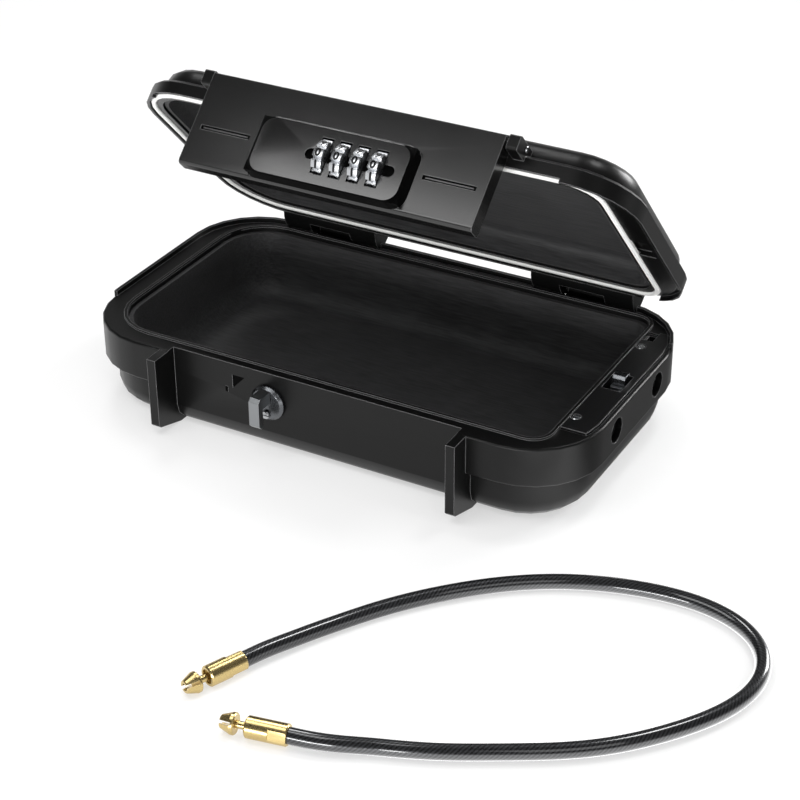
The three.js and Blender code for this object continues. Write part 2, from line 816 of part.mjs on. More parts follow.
function makeLid() {
  const skirt = skirtThickness;
  const skirtWall = [[0, skirtBottom], [0, lidBandTop - edgeRadius]];
  let lid = loft(lidPlan, [...skirtWall, [edgeRadius, lidBandTop], ...dome]);
  lid = lid.subtract(loft(lidPlan, [[skirt, skirtBottom - overrun], [skirt, lidRim]]));
  lid = lid.subtract(makeRim(runningGap));
  const frontEdge = [lidFront - overrun, lidFront + frontEdgeDepth, skirtBottom - overrun, lidRim];
  lid = lid.subtract(box(lidLeft - overrun, sealRight - sealFrontRightRadius, ...frontEdge));
  for (const side of [-1, 1]) {
    const [x0, x1] = span(side, earInnerX, earOuterX, hingeCentreX);
    const half = knuckleWidth / 2 + knuckleSideGap;
    const middle = hingeCentreX + side * hingeX;
    const slotFront = hingeY - hubRadius - 2 * runningGap;
    const slot = box(middle - half, middle + half, slotFront, hingeY + earRadius, 0, lidTop + overrun);
    const bore = bar('x', hingePinRadius + gap, x0 - overrun, x1 + overrun, hingeY, hingeZ);
    lid = lid.add(extrudeX(earProfile(), x0, x1).subtract(slot).subtract(bore));
  }
  lid = lid.add(flapMounts());
  lid = lid.subtract(loft(lidCavityPlan, lidCavityLevels(0, skirtBottom - overrun)));
  const grooveHalf = sealWidth / 2 + gap;
  const groove = [[-grooveHalf, lidRim - overrun], [-grooveHalf, lidRim + sealDepth],
    [grooveHalf, lidRim + sealDepth], [grooveHalf, lidRim - overrun]];
  lid = lid.subtract(frame(sealPlan, groove));
  const recessHalf = knobWidth / 2 + knobRecessMargin;
  const recessFront = knobY - knobTravel - knobLength / 2 - knobRecessMargin;
  const recessBack = knobY + knobLength / 2 + knobRecessMargin;
  const recessTop = knobTop + gap + edgeRadius;
  const recess = [pocketX - recessHalf, pocketX + recessHalf, recessFront, recessBack];
  lid = lid.subtract(box(...recess, skirtBottom, recessTop));
  for (const side of [-1, 1]) {
    const hole = lugScrewRadius / 2 + gap;
    const ends = span(side, lugOuterX - lugScrewLength, lugOuterX + overrun, flapCentreX);
    lid = lid.subtract(bar('x', hole, ...ends, lugScrewY, lugScrewZ));
  }
  return lid;
}

// The flap's hinge mounts on the lid: a long middle knuckle and a lug at each end
function flapMounts() {
  const webTop = flapAxisZ + barrelRadius;
  const webBack = lidFront + domeInset + overrun / 2;
  const shape = new THREE.Shape();
  shape.moveTo(webBack, lidBandTop - edgeRadius);
  shape.lineTo(webBack, webTop);
  shape.lineTo(flapAxisY, webTop);
  shape.absarc(flapAxisY, flapAxisZ, barrelRadius, Math.PI / 2, 1.5 * Math.PI);
  shape.lineTo(lidFront - edgeRadius, lidBandTop - edgeRadius);
  let mounts = extrudeX(shape, flapCentreX + lidKnuckleLeft, flapCentreX + lidKnuckleRight);
  const lug = roundedShape(lugFront, webBack, lugBottom, lugTop, edgeRadius);
  for (const side of [-1, 1]) {
    mounts = mounts.add(extrudeX(lug, ...span(side, lugInnerX, lugOuterX, flapCentreX)));
  }
  const reach = lugInnerX + lugThickness / 4 + gap;
  const [left, right] = [flapCentreX - reach, flapCentreX + reach];
  return mounts.subtract(bar('x', flapPinRadius + gap, left, right, flapAxisY, flapAxisZ));
}

function makeLidLiner() {
  const outer = loft(lidCavityPlan, lidCavityLevels(gap, lidRim + edgeRadius));
  const inset = gap + linerThickness;
  return outer.subtract(loft(lidCavityPlan, lidCavityLevels(inset, lidRim - overrun)));
}

// Seal: a square root in the lid's groove and a narrower rounded crown that meets the tray's lip
function makeSeal() {
  const half = sealWidth / 2;
  const top = lidRim + sealDepth - gap;
  const bottom = lipTop + gap;
  const crownHalf = half - edgeRadius / 3;
  const section = [[-crownHalf, bottom], [-half, lidRim - gap], [-half, top], [half, top],
    [half, lidRim - gap], [crownHalf, bottom]];
  return frame(sealPlan, section);
}

// Flap

const flapLeft = flapCentreX - flapHalfWidth;
const flapRight = flapCentreX + flapHalfWidth;
const padLeft = flapCentreX - padHalfWidth;
const padRight = flapCentreX + padHalfWidth;
const padCavityFront = padFront + padWall;
const dialXs = [];
for (let dial = 0; dial < dialCount; dial += 1) {
  dialXs.push(dialRowX + dialPitch * (dial - (dialCount - 1) / 2));
}
const springRibX = dialXs[0] - dialWidth / 2 - ribToDial - ribThickness;
const bearingRibX = dialXs[dialCount - 1] + dialWidth / 2 + ribToDial;
const hookPocketLeft = strikerX - hookWidth / 2 - pocketSide;
const hookPocketRight = strikerX + hookWidth / 2 + pocketSide;
const backPosts = [
  [padLeft + backPostHalf + flapWall, padBottom + backPostHalf + flapWall],
  [padLeft + backPostHalf + flapWall, padTop - backPostHalf - flapWall],
  [padRight - backPostHalf - flapWall, padBottom + backPostHalf + flapWall],
  [padRight - backPostHalf - flapWall, padTop - backPostHalf - flapWall],
];
const backCoverBack = flapBack + gap + backCoverThickness;

function flapTop(clear) {
  return flapAxisZ - barrelRadius - clear;
}

function makeFlap() {
  const wall = flapWall;
  const bodyTop = flapTop(2 * runningGap);
  const outer = roundedShape(flapFront, flapBack, flapBottom, bodyTop, flapCornerRadius);
  let flap = extrudeX(outer, flapLeft, flapRight);
  const padShape = roundedShape(padLeft, padRight, padBottom, padTop, padRadius);
  flap = flap.add(pad(padShape));
  const faceTop = flapAxisZ + flapFaceRise;
  const barrel = new THREE.Shape();
  barrel.moveTo(flapFront, bodyTop - flapCornerRadius);
  barrel.lineTo(flapBack, bodyTop - flapCornerRadius);
  barrel.lineTo(flapAxisY + barrelRadius, flapAxisZ);
  barrel.absarc(flapAxisY, flapAxisZ, barrelRadius, 0, Math.PI);
  barrel.lineTo(flapAxisY - barrelRadius, faceTop);
  barrel.lineTo(flapFront, faceTop);
  flap = flap.add(extrudeX(barrel, flapLeft, flapCentreX + lidKnuckleLeft - runningGap));
  flap = flap.add(extrudeX(barrel, flapCentreX + lidKnuckleRight + runningGap, flapRight));
  const faceBack = flapAxisY - barrelRadius - runningGap;
  const faceBottom = bodyTop - flapCornerRadius;
  flap = flap.add(box(flapLeft, flapRight, flapFront, faceBack, faceBottom, faceTop));
  const pin = flapPinRadius + gap;
  flap = flap.subtract(bar('x', pin, flapLeft - overrun, flapRight + overrun, flapAxisY, flapAxisZ));
  const room = [flapFront + wall, flapBack + overrun, flapBottom + wall, bodyTop - 2 * wall];
  flap = flap.subtract(box(flapLeft + wall, flapRight - wall, ...room));
  const padRoom = [padCavityFront, flapBack, padBottom + wall, padTop - wall];
  flap = flap.subtract(box(padLeft + wall + padSideDraft, padRight - wall - padSideDraft, ...padRoom));
  for (const [x, z] of backPosts) {
    const half = backPostHalf;
    const top = flapBack - backBossDepth;
    flap = flap.add(box(x - half, x + half, padFront + padWall / 2, top, z - half, z + half));
    flap = flap.subtract(bar('y', lockScrewShank + gap, top - lockScrewLength, top + overrun, x, z));
  }
  flap = flap.add(lockRibs());
  for (const side of [-1, 1]) {
    const stop = span(side, stopPadInnerX, stopPadOuterX, flapCentreX);
    const stopEnds = [flapFront + wall / 2, lidFront - gap, stopPadBottom, stopPadTop - runningGap];
    flap = flap.add(box(...stop, ...stopEnds));
    const groove = span(side, grooveInnerX, grooveOuterX, flapCentreX);
    const z0 = grooveZ - grooveHeight / 2;
    const depth = [flapFront - overrun, flapFront + grooveDepth];
    flap = flap.subtract(box(...groove, ...depth, z0, z0 + grooveHeight));
  }
  return flap.subtract(dialCuts());
}

// The raised pad, drawn in towards its face
function pad(shape) {
  const base = shape.getPoints(filletSteps);
  const middleX = (padLeft + padRight) / 2;
  const middleZ = (padBottom + padTop) / 2;
  const shrinkX = 1 - (2 * padSideDraft) / (padRight - padLeft);
  const shrinkZ = 1 - (2 * padEndDraft) / (padTop - padBottom);
  const corner = padFront + edgeRadius / 2;
  const steps = [[flapFront + flapWall / 2, 0], [flapFront, 0], [corner, 1], [padFront, padFaceShare]];
  return solid(skin(steps.map(([y, share]) => base.map(({ x, y: z }) => [
    middleX + (x - middleX) * (1 - (1 - shrinkX) * share),
    y,
    middleZ + (z - middleZ) * (1 - (1 - shrinkZ) * share),
  ])), false));
}

// Ribs inside the pad that guide the latch bolt, seat its spring and carry the right end of its shaft
function lockRibs() {
  const front = padFront + padWall / 2;
  const back = flapBack - gap;
  const upper = dialZ + boltHalfHeight + gap;
  const lower = dialZ - boltHalfHeight - gap;
  const along = [guideRibLeft, guideRibRight, front, boltBack];
  let ribs = box(...along, upper, upper + ribThickness);
  ribs = ribs.add(box(...along, lower - ribThickness, lower));
  for (const x of [springRibX, bearingRibX]) {
    const upright = box(x, x + ribThickness, front, back, dialZ - bearingRibHalf, dialZ + bearingRibHalf);
    const bore = bar('x', shaftRadius + gap, x - overrun, x + overrun, dialAxisY, dialZ);
    ribs = ribs.add(upright.subtract(bore));
  }
  return ribs;
}

function dialCuts() {
  const reach = dialAxisY - padCavityFront;
  const chord = Math.sqrt(dialRadius ** 2 - reach ** 2) + dialSlotEnd;
  const windowX = (dialPitch * (dialCount - 1) + dialWidth) / 2 + windowEnd;
  const windowZ = windowHeight / 2;
  const end = windowZ * windowEndShare;
  const stadium = roundedShape(dialRowX - windowX, dialRowX + windowX, dialZ - windowZ, dialZ + windowZ, end);
  let cuts = extrudeY(stadium, padFront - overrun, padFront + windowDepth);
  for (const x of dialXs) {
    const half = dialWidth / 2 + dialSlotSide;
    const depth = [padFront - overrun, padCavityFront + overrun / 2];
    cuts = cuts.add(box(x - half, x + half, ...depth, dialZ - chord, dialZ + chord));
  }
  const behind = [hookPocketLeft, hookPocketRight, padCavityFront - pocketEnd / 3, flapBack];
  return cuts.add(box(...behind, hookBottom - pocketEnd, hookTop + pocketEnd));
}

function makeBackCover() {
  const clear = backCoverMargin;
  const [left, right] = [padLeft + clear, padRight - clear];
  const shape = roundedShape(left, right, padBottom + clear, padTop - clear, padRadius / 2);
  let cover = extrudeY(shape, flapBack + gap, backCoverBack);
  const through = [flapBack, backCoverBack + overrun];
  cover = cover.subtract(bar('y', rosetteRadius + rosetteRoom, ...through, strikerX, rosetteZ, roundSides));
  for (const [x, z] of backPosts) {
    const boss = [flapBack + gap - backBossDepth, flapBack + gap + backCoverThickness / 2];
    const sink = [backCoverBack - lockScrewSink, backCoverBack + overrun];
    cover = cover.add(bar('y', lockScrewHead + 2 * gap, ...boss, x, z));
    cover = cover.subtract(bar('y', lockScrewHead + gap, ...sink, x, z));
    cover = cover.subtract(bar('y', lockScrewShank + gap, boss[0] - overrun, sink[1], x, z));
  }
  const leverHalf = codeLeverWidth / 2 + gap;
  const leverX = [codeLeverX - leverHalf, codeLeverX + codeLeverTravel + leverHalf];
  const leverZ = [codeLeverZ - leverHalf, codeLeverZ + leverHalf];
  return cover.subtract(box(...leverX, flapBack, backCoverBack + overrun, ...leverZ));
}

// Small lever for setting a new code: a flat foot inside and a stub that shows in the back cover's slot
function makeCodeLever() {
  const half = codeLeverWidth / 2;
  const foot = codeLeverHead / 2;
  const stub = [codeLeverX - half, codeLeverX + half, flapBack - edgeRadius, backCoverBack - gap];
  const lever = box(...stub, codeLeverZ - half, codeLeverZ + half);
  const base = [codeLeverX - foot, codeLeverX + foot, flapBack - 2 * edgeRadius, flapBack];
  return lever.add(box(...base, codeLeverZ - foot, codeLeverZ + foot));
}

function makeDial() {
  const half = dialWidth / 2;
  const bevel = edgeRadius / 2;
  const profile = [
    [dialBore, -half],
    [dialRadius - bevel, -half],
    [dialRadius, -half + bevel],
    [dialRadius, half - bevel],
    [dialRadius - bevel, half],
    [dialBore, half],
    [dialBore, -half],
  ];
  let dial = solid(turned(profile, 'x', 2 * dialDigits));
  for (let digit = 0; digit < dialDigits; digit += 1) {
    const angle = (2 * Math.PI * (digit + 0.5)) / dialDigits;
    const y = dialRadius * Math.cos(angle);
    const z = dialRadius * Math.sin(angle);
    dial = dial.subtract(bar('x', dialNotchRadius, -half - overrun, half + overrun, y, z, 6));
  }
  return dial;
}

const collarLeft = bearingRibX + ribThickness + gap;

// Latch bolt: the block behind the hook's plate, on the shaft that carries the dials, with its end collar
function makeBolt() {
  const height = [dialZ - boltHalfHeight, dialZ + boltHalfHeight];
  const neckLeft = strikerX + hookWidth / 2 + 2 * gap;
  const neckFront = dialAxisY - shaftRadius;
  let bolt = box(boltLeft, boltRight, boltFront, boltBack, ...height);
  bolt = bolt.add(box(neckLeft, boltRight, neckFront, boltBack, ...height));
  const root = boltRight - shaftRadius;
  bolt = bolt.add(bar('x', shaftRadius, root, collarLeft + collarThickness / 2, dialAxisY, dialZ));
  return bolt.add(bar('x', collarRadius, collarLeft, collarLeft + collarThickness, dialAxisY, dialZ));
}

function roundSection(radius, sides) {
  const points = [];
  for (let side = 0; side < sides; side += 1) {
    const angle = (2 * Math.PI * side) / sides;
    points.push([radius * Math.cos(angle), radius * Math.sin(angle)]);
  }
  return shapeOf(points);
}

// Return spring of the bolt: a strip folded to and fro between the bolt's block and a rib, behind the shaft
function makeSpring() {
  const start = boltRight + boltTravel + gap;
  const pitch = (springRibX - gap - springStrip - start) / springFolds;
  const depth = [springFront, springBack];
  const bottom = dialZ - springHalfHeight;
  const top = dialZ + springHalfHeight;
  let spring = box(start, start + springStrip, ...depth, bottom, top);
  for (let fold = 1; fold <= springFolds; fold += 1) {
    const x = start + fold * pitch;
    const bend = fold % 2 ? [top - springStrip, top] : [bottom, bottom + springStrip];
    spring = spring.add(box(x - pitch, x + springStrip, ...depth, ...bend));
    spring = spring.add(box(x, x + springStrip, ...depth, bottom, top));
  }
  return spring;
}

// Leaf spring under the dials: a foot on the pad's lower wall and a bump below each dial
function makeDetent() {
  const floor = padBottom + flapWall + gap;
  const top = dialZ - dialRadius - gap;
  const left = dialXs[0] - dialPitch / 2;
  const right = dialXs[dialCount - 1] + dialPitch / 2;
  const points = [[left, floor], [right, floor], [right, top - detentDrop]];
  for (const x of dialXs.toReversed()) {
    points.push([x + dialWidth / 4, top], [x - dialWidth / 4, top]);
    points.push([x - dialPitch / 2, top - detentDrop]);
  }
  const front = dialAxisY - detentFoot / 2;
  return extrudeY(shapeOf(points), front, front + detentFoot);
}

// Cable. The route is the line of its middle on the floor, from one ferrule round to the other. Its ends are
// propped on the brass heads, so its end points lie higher: the rise is a share of that difference.
const endRiseShares = [1, 1, 0.5];

const cableRoute = [
  [51.3, -203.8], [55.4, -194.2], [62, -181], [71, -164], [81, -149], [94, -132], [109, -117.5],
  [123, -106], [139, -97], [155, -90.5], [172, -86.5], [190, -86], [206, -89.5], [218, -97],
  [226, -108], [228.5, -120], [226.5, -134], [221, -148], [212, -162], [201, -175], [189, -186],
  [176, -195], [162, -203], [149, -210.5], [136, -216.5], [122, -222], [110, -227.5], [99, -231.6],
  [90.2, -233.4],
].map(([x, y], index, route) => {
  const share = endRiseShares[Math.min(index, route.length - 1 - index)] ?? 0;
  return new THREE.Vector3(x, y, cableRadius + (headRadius - cableRadius) * share);
});

function makeCable() {
  const path = new THREE.CatmullRomCurve3(cableRoute);
  const section = roundSection(cableRadius, cableSides);
  const settings = { steps: cableSteps, bevelEnabled: false, extrudePath: path };
  return new THREE.ExtrudeGeometry(section, settings);
}

// Brass end: ferrule with two flats, thin neck and a mushroom head with a hollow tip
function makeCableEnd(at, away) {
  const neckStart = gap + ferruleLength;
  const headStart = neckStart + neckLength;
  const tip = headStart + headLength;
  const bevel = edgeRadius / 2;
  const profile = [
    [0, gap],
    [ferruleRadius - bevel, gap],
    [ferruleRadius, gap + bevel],
    [ferruleRadius, neckStart - bevel],
    [ferruleRadius - bevel, neckStart],
    [neckRadius, neckStart],
    [neckRadius, headStart],
    [headRadius, headStart + bevel],
    [headRadius, headStart + headLength / 3],
    [headTipRadius, tip],
    [headTipBore, tip],
    [headTipBore, tip - headTipDepth],
    [0, tip - headTipDepth],
  ];
  let end = solid(turned(profile, 'y', roundSides / 2));
  const flatStart = neckStart - ferruleFlatLength;
  for (const side of [-1, 1]) {
    const off = span(side, ferruleFlatHalf, ferruleRadius + overrun);
    end = end.subtract(box(-ferruleRadius, ferruleRadius, flatStart, neckStart + gap, ...off));
  }
  const geometry = toGeometry(end);
  const turn = new THREE.Quaternion().setFromUnitVectors(alongY, away);
  geometry.applyQuaternion(turn);
  geometry.translate(at.x, at.y, at.z);
  return geometry;
}

function buildSafe() {
  const safe = new THREE.Group();
  add(safe, 'base_shell', makeBase(), black);
  const liner = loft(lipPlan, cavityLevels(gap, lipTop - linerDrop));
  const hollow = loft(lipPlan, cavityLevels(gap + linerThickness, lipTop));
  add(safe, 'base_liner', liner.subtract(hollow), lining);
  add(safe, 'cable_lock_cover', makeCover(), black);
  const coverShank = smallScrewLength - 2 * gap;
  const coverScrew = screwSolid(smallScrewShank, smallScrewHead, smallScrewHeadHeight, coverShank);
  const bushProfile = [
    [bushBore, 0],
    [bushRadius, 0],
    [bushRadius, bushLength],
    [bushBore, bushLength],
    [bushBore, 0],
  ];
  ['front', 'rear'].forEach((place, index) => {
    const screw = add(safe, `cover_screw_${place}`, coverScrew, steel);
    screw.position.set(coverScrewX, screwYs[index], lipTop - smallScrewHeadHeight);
    const bush = add(safe, `socket_bush_${place}`, turned(bushProfile, 'x'), steel);
    bush.position.set(plateRight + gap, socketYs[index], socketZ);
  });
  add(safe, 'cable_lock_plate', makePlate(), steel);
  add(safe, 'cable_lock_knob', makeKnob(), chrome).position.y = knobY;
  add(safe, 'cable_lock_detent', makeLeaf(), steel);
  add(safe, 'striker_rosette', makeRosette(), steel);
  add(safe, 'striker_hook', makeHook(), steel);
  const strikerShank = rosetteThickness + strikerScrewLength - gap;
  const strikerScrew = screwSolid(smallScrewShank, smallScrewHead, smallScrewHeadHeight, strikerShank);
  const striker = add(safe, 'striker_screw', strikerScrew, steel);
  striker.position.set(strikerX, rosetteFront - gap, strikerScrewZ);
  striker.rotation.x = Math.PI / 2;
  for (const [side, name] of [[-1, 'left'], [1, 'right']]) {
    const ends = span(side, earInnerX + gap, earOuterX - gap, hingeCentreX);
    add(safe, `hinge_pin_${name}`, bar('x', hingePinRadius, ...ends, hingeY, hingeZ), steel);
  }
  safe.add(buildLid());
  const first = cableRoute[0];
  const last = cableRoute[cableRoute.length - 1];
  const outFirst = first.clone().sub(cableRoute[1]).normalize();
  const outLast = last.clone().sub(cableRoute[cableRoute.length - 2]).normalize();
  add(safe, 'cable', makeCable(), vinyl);
  add(safe, 'cable_end_a', makeCableEnd(first, outFirst), brass);
  add(safe, 'cable_end_b', makeCableEnd(last, outLast), brass);
  return safe;
}

// The lid and all that rides on it, modelled closed and then turned open about its hinge
function buildLid() {
  const hinge = new THREE.Group();
  hinge.position.set(0, hingeY, hingeZ);
  hinge.rotation.x = -THREE.MathUtils.degToRad(openAngle);
  const lid = new THREE.Group();
  lid.position.set(0, -hingeY, -hingeZ);
  hinge.add(lid);
  add(lid, 'lid_shell', makeLid(), black);
  add(lid, 'lid_liner', makeLidLiner(), lining);
  add(lid, 'lid_gasket', makeSeal(), whiteRubber);
  const pinReach = lugInnerX + lugThickness / 4;
  const pinEnds = [flapCentreX - pinReach, flapCentreX + pinReach];
  add(lid, 'flap_hinge_pin', bar('x', flapPinRadius, ...pinEnds, flapAxisY, flapAxisZ), steel);
  add(lid, 'flap_shell', makeFlap(), black);
  const lugShank = lugScrewLength - 2 * gap;
  const lugScrew = screwSolid(lugScrewRadius / 2, lugScrewRadius, lugScrewDome, lugShank);
  for (const [side, name] of [[-1, 'left'], [1, 'right']]) {
    const screw = add(lid, `lug_screw_${name}`, lugScrew, steel);
    screw.position.set(flapCentreX + side * (lugOuterX + gap), lugScrewY, lugScrewZ);
    screw.rotation.y = side * (Math.PI / 2);
  }
  dialXs.forEach((x, index) => {
    const dial = add(lid, `dial_${index + 1}`, makeDial(), chrome);
    dial.position.set(x, dialAxisY, dialZ);
  });
  add(lid, 'latch_bolt', makeBolt(), steel);
  add(lid, 'latch_spring', makeSpring(), steel);
  add(lid, 'dial_detent', makeDetent(), steel);
  add(lid, 'lock_back_cover', makeBackCover(), black);
  const backShank = lockScrewLength - gap;
  const backScrew = screwSolid(lockScrewShank, lockScrewHead, lockScrewHeadHeight, backShank);
  backPosts.forEach(([x, z], index) => {
    const screw = add(lid, `lock_screw_${index + 1}`, backScrew, steel);
    screw.position.set(x, backCoverBack - lockScrewSink + gap, z);
    screw.rotation.x = -Math.PI / 2;
  });
  add(lid, 'code_lever', makeCodeLever(), black);
  return hinge;
}

export default buildSafe();
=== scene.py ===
"""Portable car safe, dressed: a black moulded tray and stepped lid with a lock flap, and a loose cable."""
import json
from math import atan2, cos, degrees, hypot, pi, radians, sin

import bmesh
import bpy
import numpy as np
from mathutils import Matrix, Vector

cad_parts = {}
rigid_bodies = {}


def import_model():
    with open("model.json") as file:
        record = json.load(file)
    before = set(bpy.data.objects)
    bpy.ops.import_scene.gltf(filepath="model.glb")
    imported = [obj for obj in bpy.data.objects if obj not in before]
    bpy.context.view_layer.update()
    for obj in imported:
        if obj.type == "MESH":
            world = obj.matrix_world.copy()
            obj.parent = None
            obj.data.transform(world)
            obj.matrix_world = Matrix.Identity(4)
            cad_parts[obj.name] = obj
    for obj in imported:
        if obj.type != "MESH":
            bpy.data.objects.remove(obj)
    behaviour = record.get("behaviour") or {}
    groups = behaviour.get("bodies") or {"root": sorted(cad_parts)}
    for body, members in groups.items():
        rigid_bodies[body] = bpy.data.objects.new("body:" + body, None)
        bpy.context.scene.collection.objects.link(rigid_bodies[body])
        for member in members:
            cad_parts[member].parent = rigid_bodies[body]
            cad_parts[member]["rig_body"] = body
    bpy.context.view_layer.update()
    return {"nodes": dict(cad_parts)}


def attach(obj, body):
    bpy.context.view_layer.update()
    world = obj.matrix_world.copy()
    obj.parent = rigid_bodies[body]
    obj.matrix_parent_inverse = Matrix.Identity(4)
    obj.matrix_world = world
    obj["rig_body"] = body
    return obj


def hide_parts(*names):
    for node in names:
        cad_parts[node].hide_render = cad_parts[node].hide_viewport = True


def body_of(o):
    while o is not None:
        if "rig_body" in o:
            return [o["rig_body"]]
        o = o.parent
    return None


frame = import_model()
nodes = frame["nodes"]

# Sizes below are in millimetres and angles in degrees, unless a comment says otherwise
MM = 0.001

# Camera: a long lens at the photograph's angle, fitted to the case's corners
AZIMUTH = 29.197
ELEVATION = 30.884
ROLL = -0.363
LENS = 93.0
SENSOR_WIDTH = 36
CAMERA_PLACE = Vector((410.7, -722.9, 495.6)) * MM

# Lid hinge, and how far the lid is open at rest
HINGE = Vector((0, 72.6, 49.4)) * MM
OPEN_ANGLE = 46.7

# Number dials, in the lid's closed place. Each rim is rounded in two steps, and between its digits a finger notch
# draws in the points that lie less than NOTCH_REACH below the rim
DIAL_XS = [-1.25, 7.45, 16.15, 24.85]
DIAL_BODIES = ["dial_a", "dial_b", "dial_c", "dial_d"]
DIAL_Y = -76
DIAL_Z = 23.5
DIAL_RADIUS = 8.3
DIAL_HALF = 2.4
DIAL_BORE = 1.8
DIAL_STEPS = 120
RIM_ROUND = 0.4
RIM_MIDDLE = 0.12
DIGIT_TURN = 36
NOTCH_HALF_ANGLE = 5.5
NOTCH_DEPTH = 1.1
NOTCH_SIDE = 0.35
NOTCH_REACH = 0.6

# Numerals, cut into bands so that they bend round the rim. FONT_ sizes are in the font's own units, where a line
# of text is 1 high
DIGIT_HEIGHT = 3.7
DIGIT_WIDEN = 1.1
DIGIT_THICKNESS = 0.08
DIGIT_LIFT = 0.01
DIGIT_BANDS = 10
CUT_NEAR = 0.00001
FONT_EXTRUDE = 0.1
FONT_BOLDER = 0.045
FONT_STEPS = 3
FONT_MERGE = 0.0005

# Marks in the front wall as (x, z) points: a triangle and a tick, filled a little below the wall's face with painted
# shade
WALL_Y = -65.8
TRIANGLE = [(-41.8, 34.2), (-41.8, 27.4), (-35.4, 34.2)]
TICK = [(-45.9, 24.7), (-44.5, 24.7), (-44.5, 27.3), (-45.9, 27.3)]
MARK_FRONT, MARK_BACK = 0.15, 0.6

# Flap and its raised pad, in the lid's closed place, and the two long grooves. A bed of painted shade covers each
# groove's floor, from BED_FRONT to BED_BACK in front of it, so that the groove shows dark. A slim bar stands on the
# bed from BAR_FOOT in front of the floor up to BAR_SINK behind the flap's face
FLAP_FRONT = -75.8
PAD_FRONT = -79.8
GROOVE_DEPTH = 1
GROOVES = [(-64.4, -39.7), (43.7, 68.4)]
GROOVE_BOTTOM, GROOVE_TOP = 24.8, 26.8
BED_FRONT, BED_BACK = 0.25, 0.01
BAR_INSET = 1.3
BAR_HALF = 0.28
BAR_SINK = 0.25
BAR_FOOT = 0.2

# How close a face's middle lies to a plane that it is on, and to a groove that it is in. The pad's upper wall, whose
# normal has a Z over UPWARDS, stays as the flap is
ON_PLANE = 0.05
NEAR_GROOVE = 0.1
UPWARDS = 0.5

# Hinge: the tray's knuckles along X, where along Y the hinge starts, and the X from which a normal faces sideways.
# Webs of painted shade, in the dull black, beside the knuckles close the running gap below the pin, so that it shows
# dark. Their angles are counted from straight back by way of up, so 270 is straight down
KNUCKLES = [-65.8, 70.2]
KNUCKLE_HALF = 10
HINGE_START = 62
SIDEWAYS = 0.9
WEB_OVERLAP = 0.02
WEB_THICKNESS = 0.9
WEB_RADII = (5, 13.1)
WEB_ANGLES = (240, 272)
WEB_STEPS = 12

# Cable: the route's points are the CAD's. From FIT_START in from each end, the plan blends over FIT_BLEND into a
# polynomial of FIT_DEGREE. END_RISE lifts the points next to each end, as a share, to the brass end's middle height
CABLE_RADIUS = 3.3
CABLE_STEP = 2.5
CABLE_LENGTH = 0.44  # metres
CABLE_BEVEL = 6
CABLE_SHARP = 50
SPLINE_STEPS = 12
FIT_DEGREE = 18
FIT_START = 8
FIT_BLEND = 30
END_RISE = [1, 1, 0.5]
CABLE_ROUTE = [
    (51.3, -203.8), (55.4, -194.2), (62, -181), (71, -164), (81, -149), (94, -132), (109, -117.5),
    (123, -106), (139, -97), (155, -90.5), (172, -86.5), (190, -86), (206, -89.5), (218, -97),
    (226, -108), (228.5, -120), (226.5, -134), (221, -148), (212, -162), (201, -175), (189, -186),
    (176, -195), (162, -203), (149, -210.5), (136, -216.5), (122, -222), (110, -227.5), (99, -231.6),
    (90.2, -233.4),
]

# Strands of the rope under its clear coat, and the length in which one goes round once
STRAND_COUNT = 12
STRAND_LAY = 22

# Brass ends as (radius, place along the end): a ferrule with a recess round the thin neck, and a mushroom head with
# a hollow tip. Two flats are milled on the ferrule, as far as FLAT_END
HEAD_RADIUS = 4.3
FLAT_END = 7.4
END_TIP = 27
END_PROFILE = [
    (0, 0.3), (3.9, 0.3), (HEAD_RADIUS, 0.7), (HEAD_RADIUS, FLAT_END - 0.02), (HEAD_RADIUS, FLAT_END + 0.02),
    (HEAD_RADIUS, 16.3), (3.8, 16.8), (3, 16.8), (2.8, 15.6), (1.5, 15.6),
    (1.5, 21.3), (1.9, 21), (3.9, 21), (HEAD_RADIUS, 21.4), (HEAD_RADIUS, 22.6), (4.1, 23), (2.7, 26.7),
    (2.4, END_TIP), (1.6, END_TIP), (1.4, 26.8), (1.4, 25.2), (0, 24.9),
]
END_STEPS = 48
FLAT_HALF = 3.75
FLAT_TURN_A, FLAT_TURN_B = 40, -75
SLOT_WIDTH = 1.3
SLOT_DEPTH = 5
SLOT_ACROSS = 12
SLOT_TURN = -56

# Meshes: points this close are merged, CAD triangles this flat to each other become one face, and large faces count
# this much in the shading
MERGE = 0.001
CAD_MERGE = 0.002
CAD_FLAT = 0.05
FLAT_WEIGHT = 100

# Patterns: the middle range of a noise, a noise's roughness, and the samples of a softened edge
NOISE_RANGE = (0.3, 0.7)
NOISE_ROUGHNESS = 0.55
EDGE_SAMPLES = 6
# The dot product of a softened normal and its face's normal where the painted edge highlight starts, and where it is
# full
EDGE_HIGHLIGHT_RANGE = (0.98, 0.85)
# Socket numbers of a colour mix: its factor, its two colours and its result
MIX_FACTOR, MIX_A, MIX_B, MIX_RESULT = 0, 6, 7, 2

# Floor, in metres from the origin: near the object it is partly paper, so that the shadow shows on it
FLOOR_HALF = 6
WHITE_SHARE = 0.5
SHADOW_REACH = (0.35, 0.9)
# Painted reflection on the floor to the right, a glowing and a dark patch that only shiny surfaces see: where along
# X it starts and is full, how much it hides of the floor, where along Y it goes from its front part to its rear
# part, and how bright these are
CARD_REACH = (0.08, 0.14)
CARD_SHARE = 0.8
CARD_TURN = (-0.08, -0.02)
CARD_LEVELS = (3.2, 0.05)

# World: the light on matt surfaces, and the dome in shiny ones, by height from the horizon (0) to overhead (1)
DIFFUSE_LEVEL = 0.6
DOME_HEIGHTS = (0.04, 0.3)
DOME_LEVELS = (1.0, 0.1)

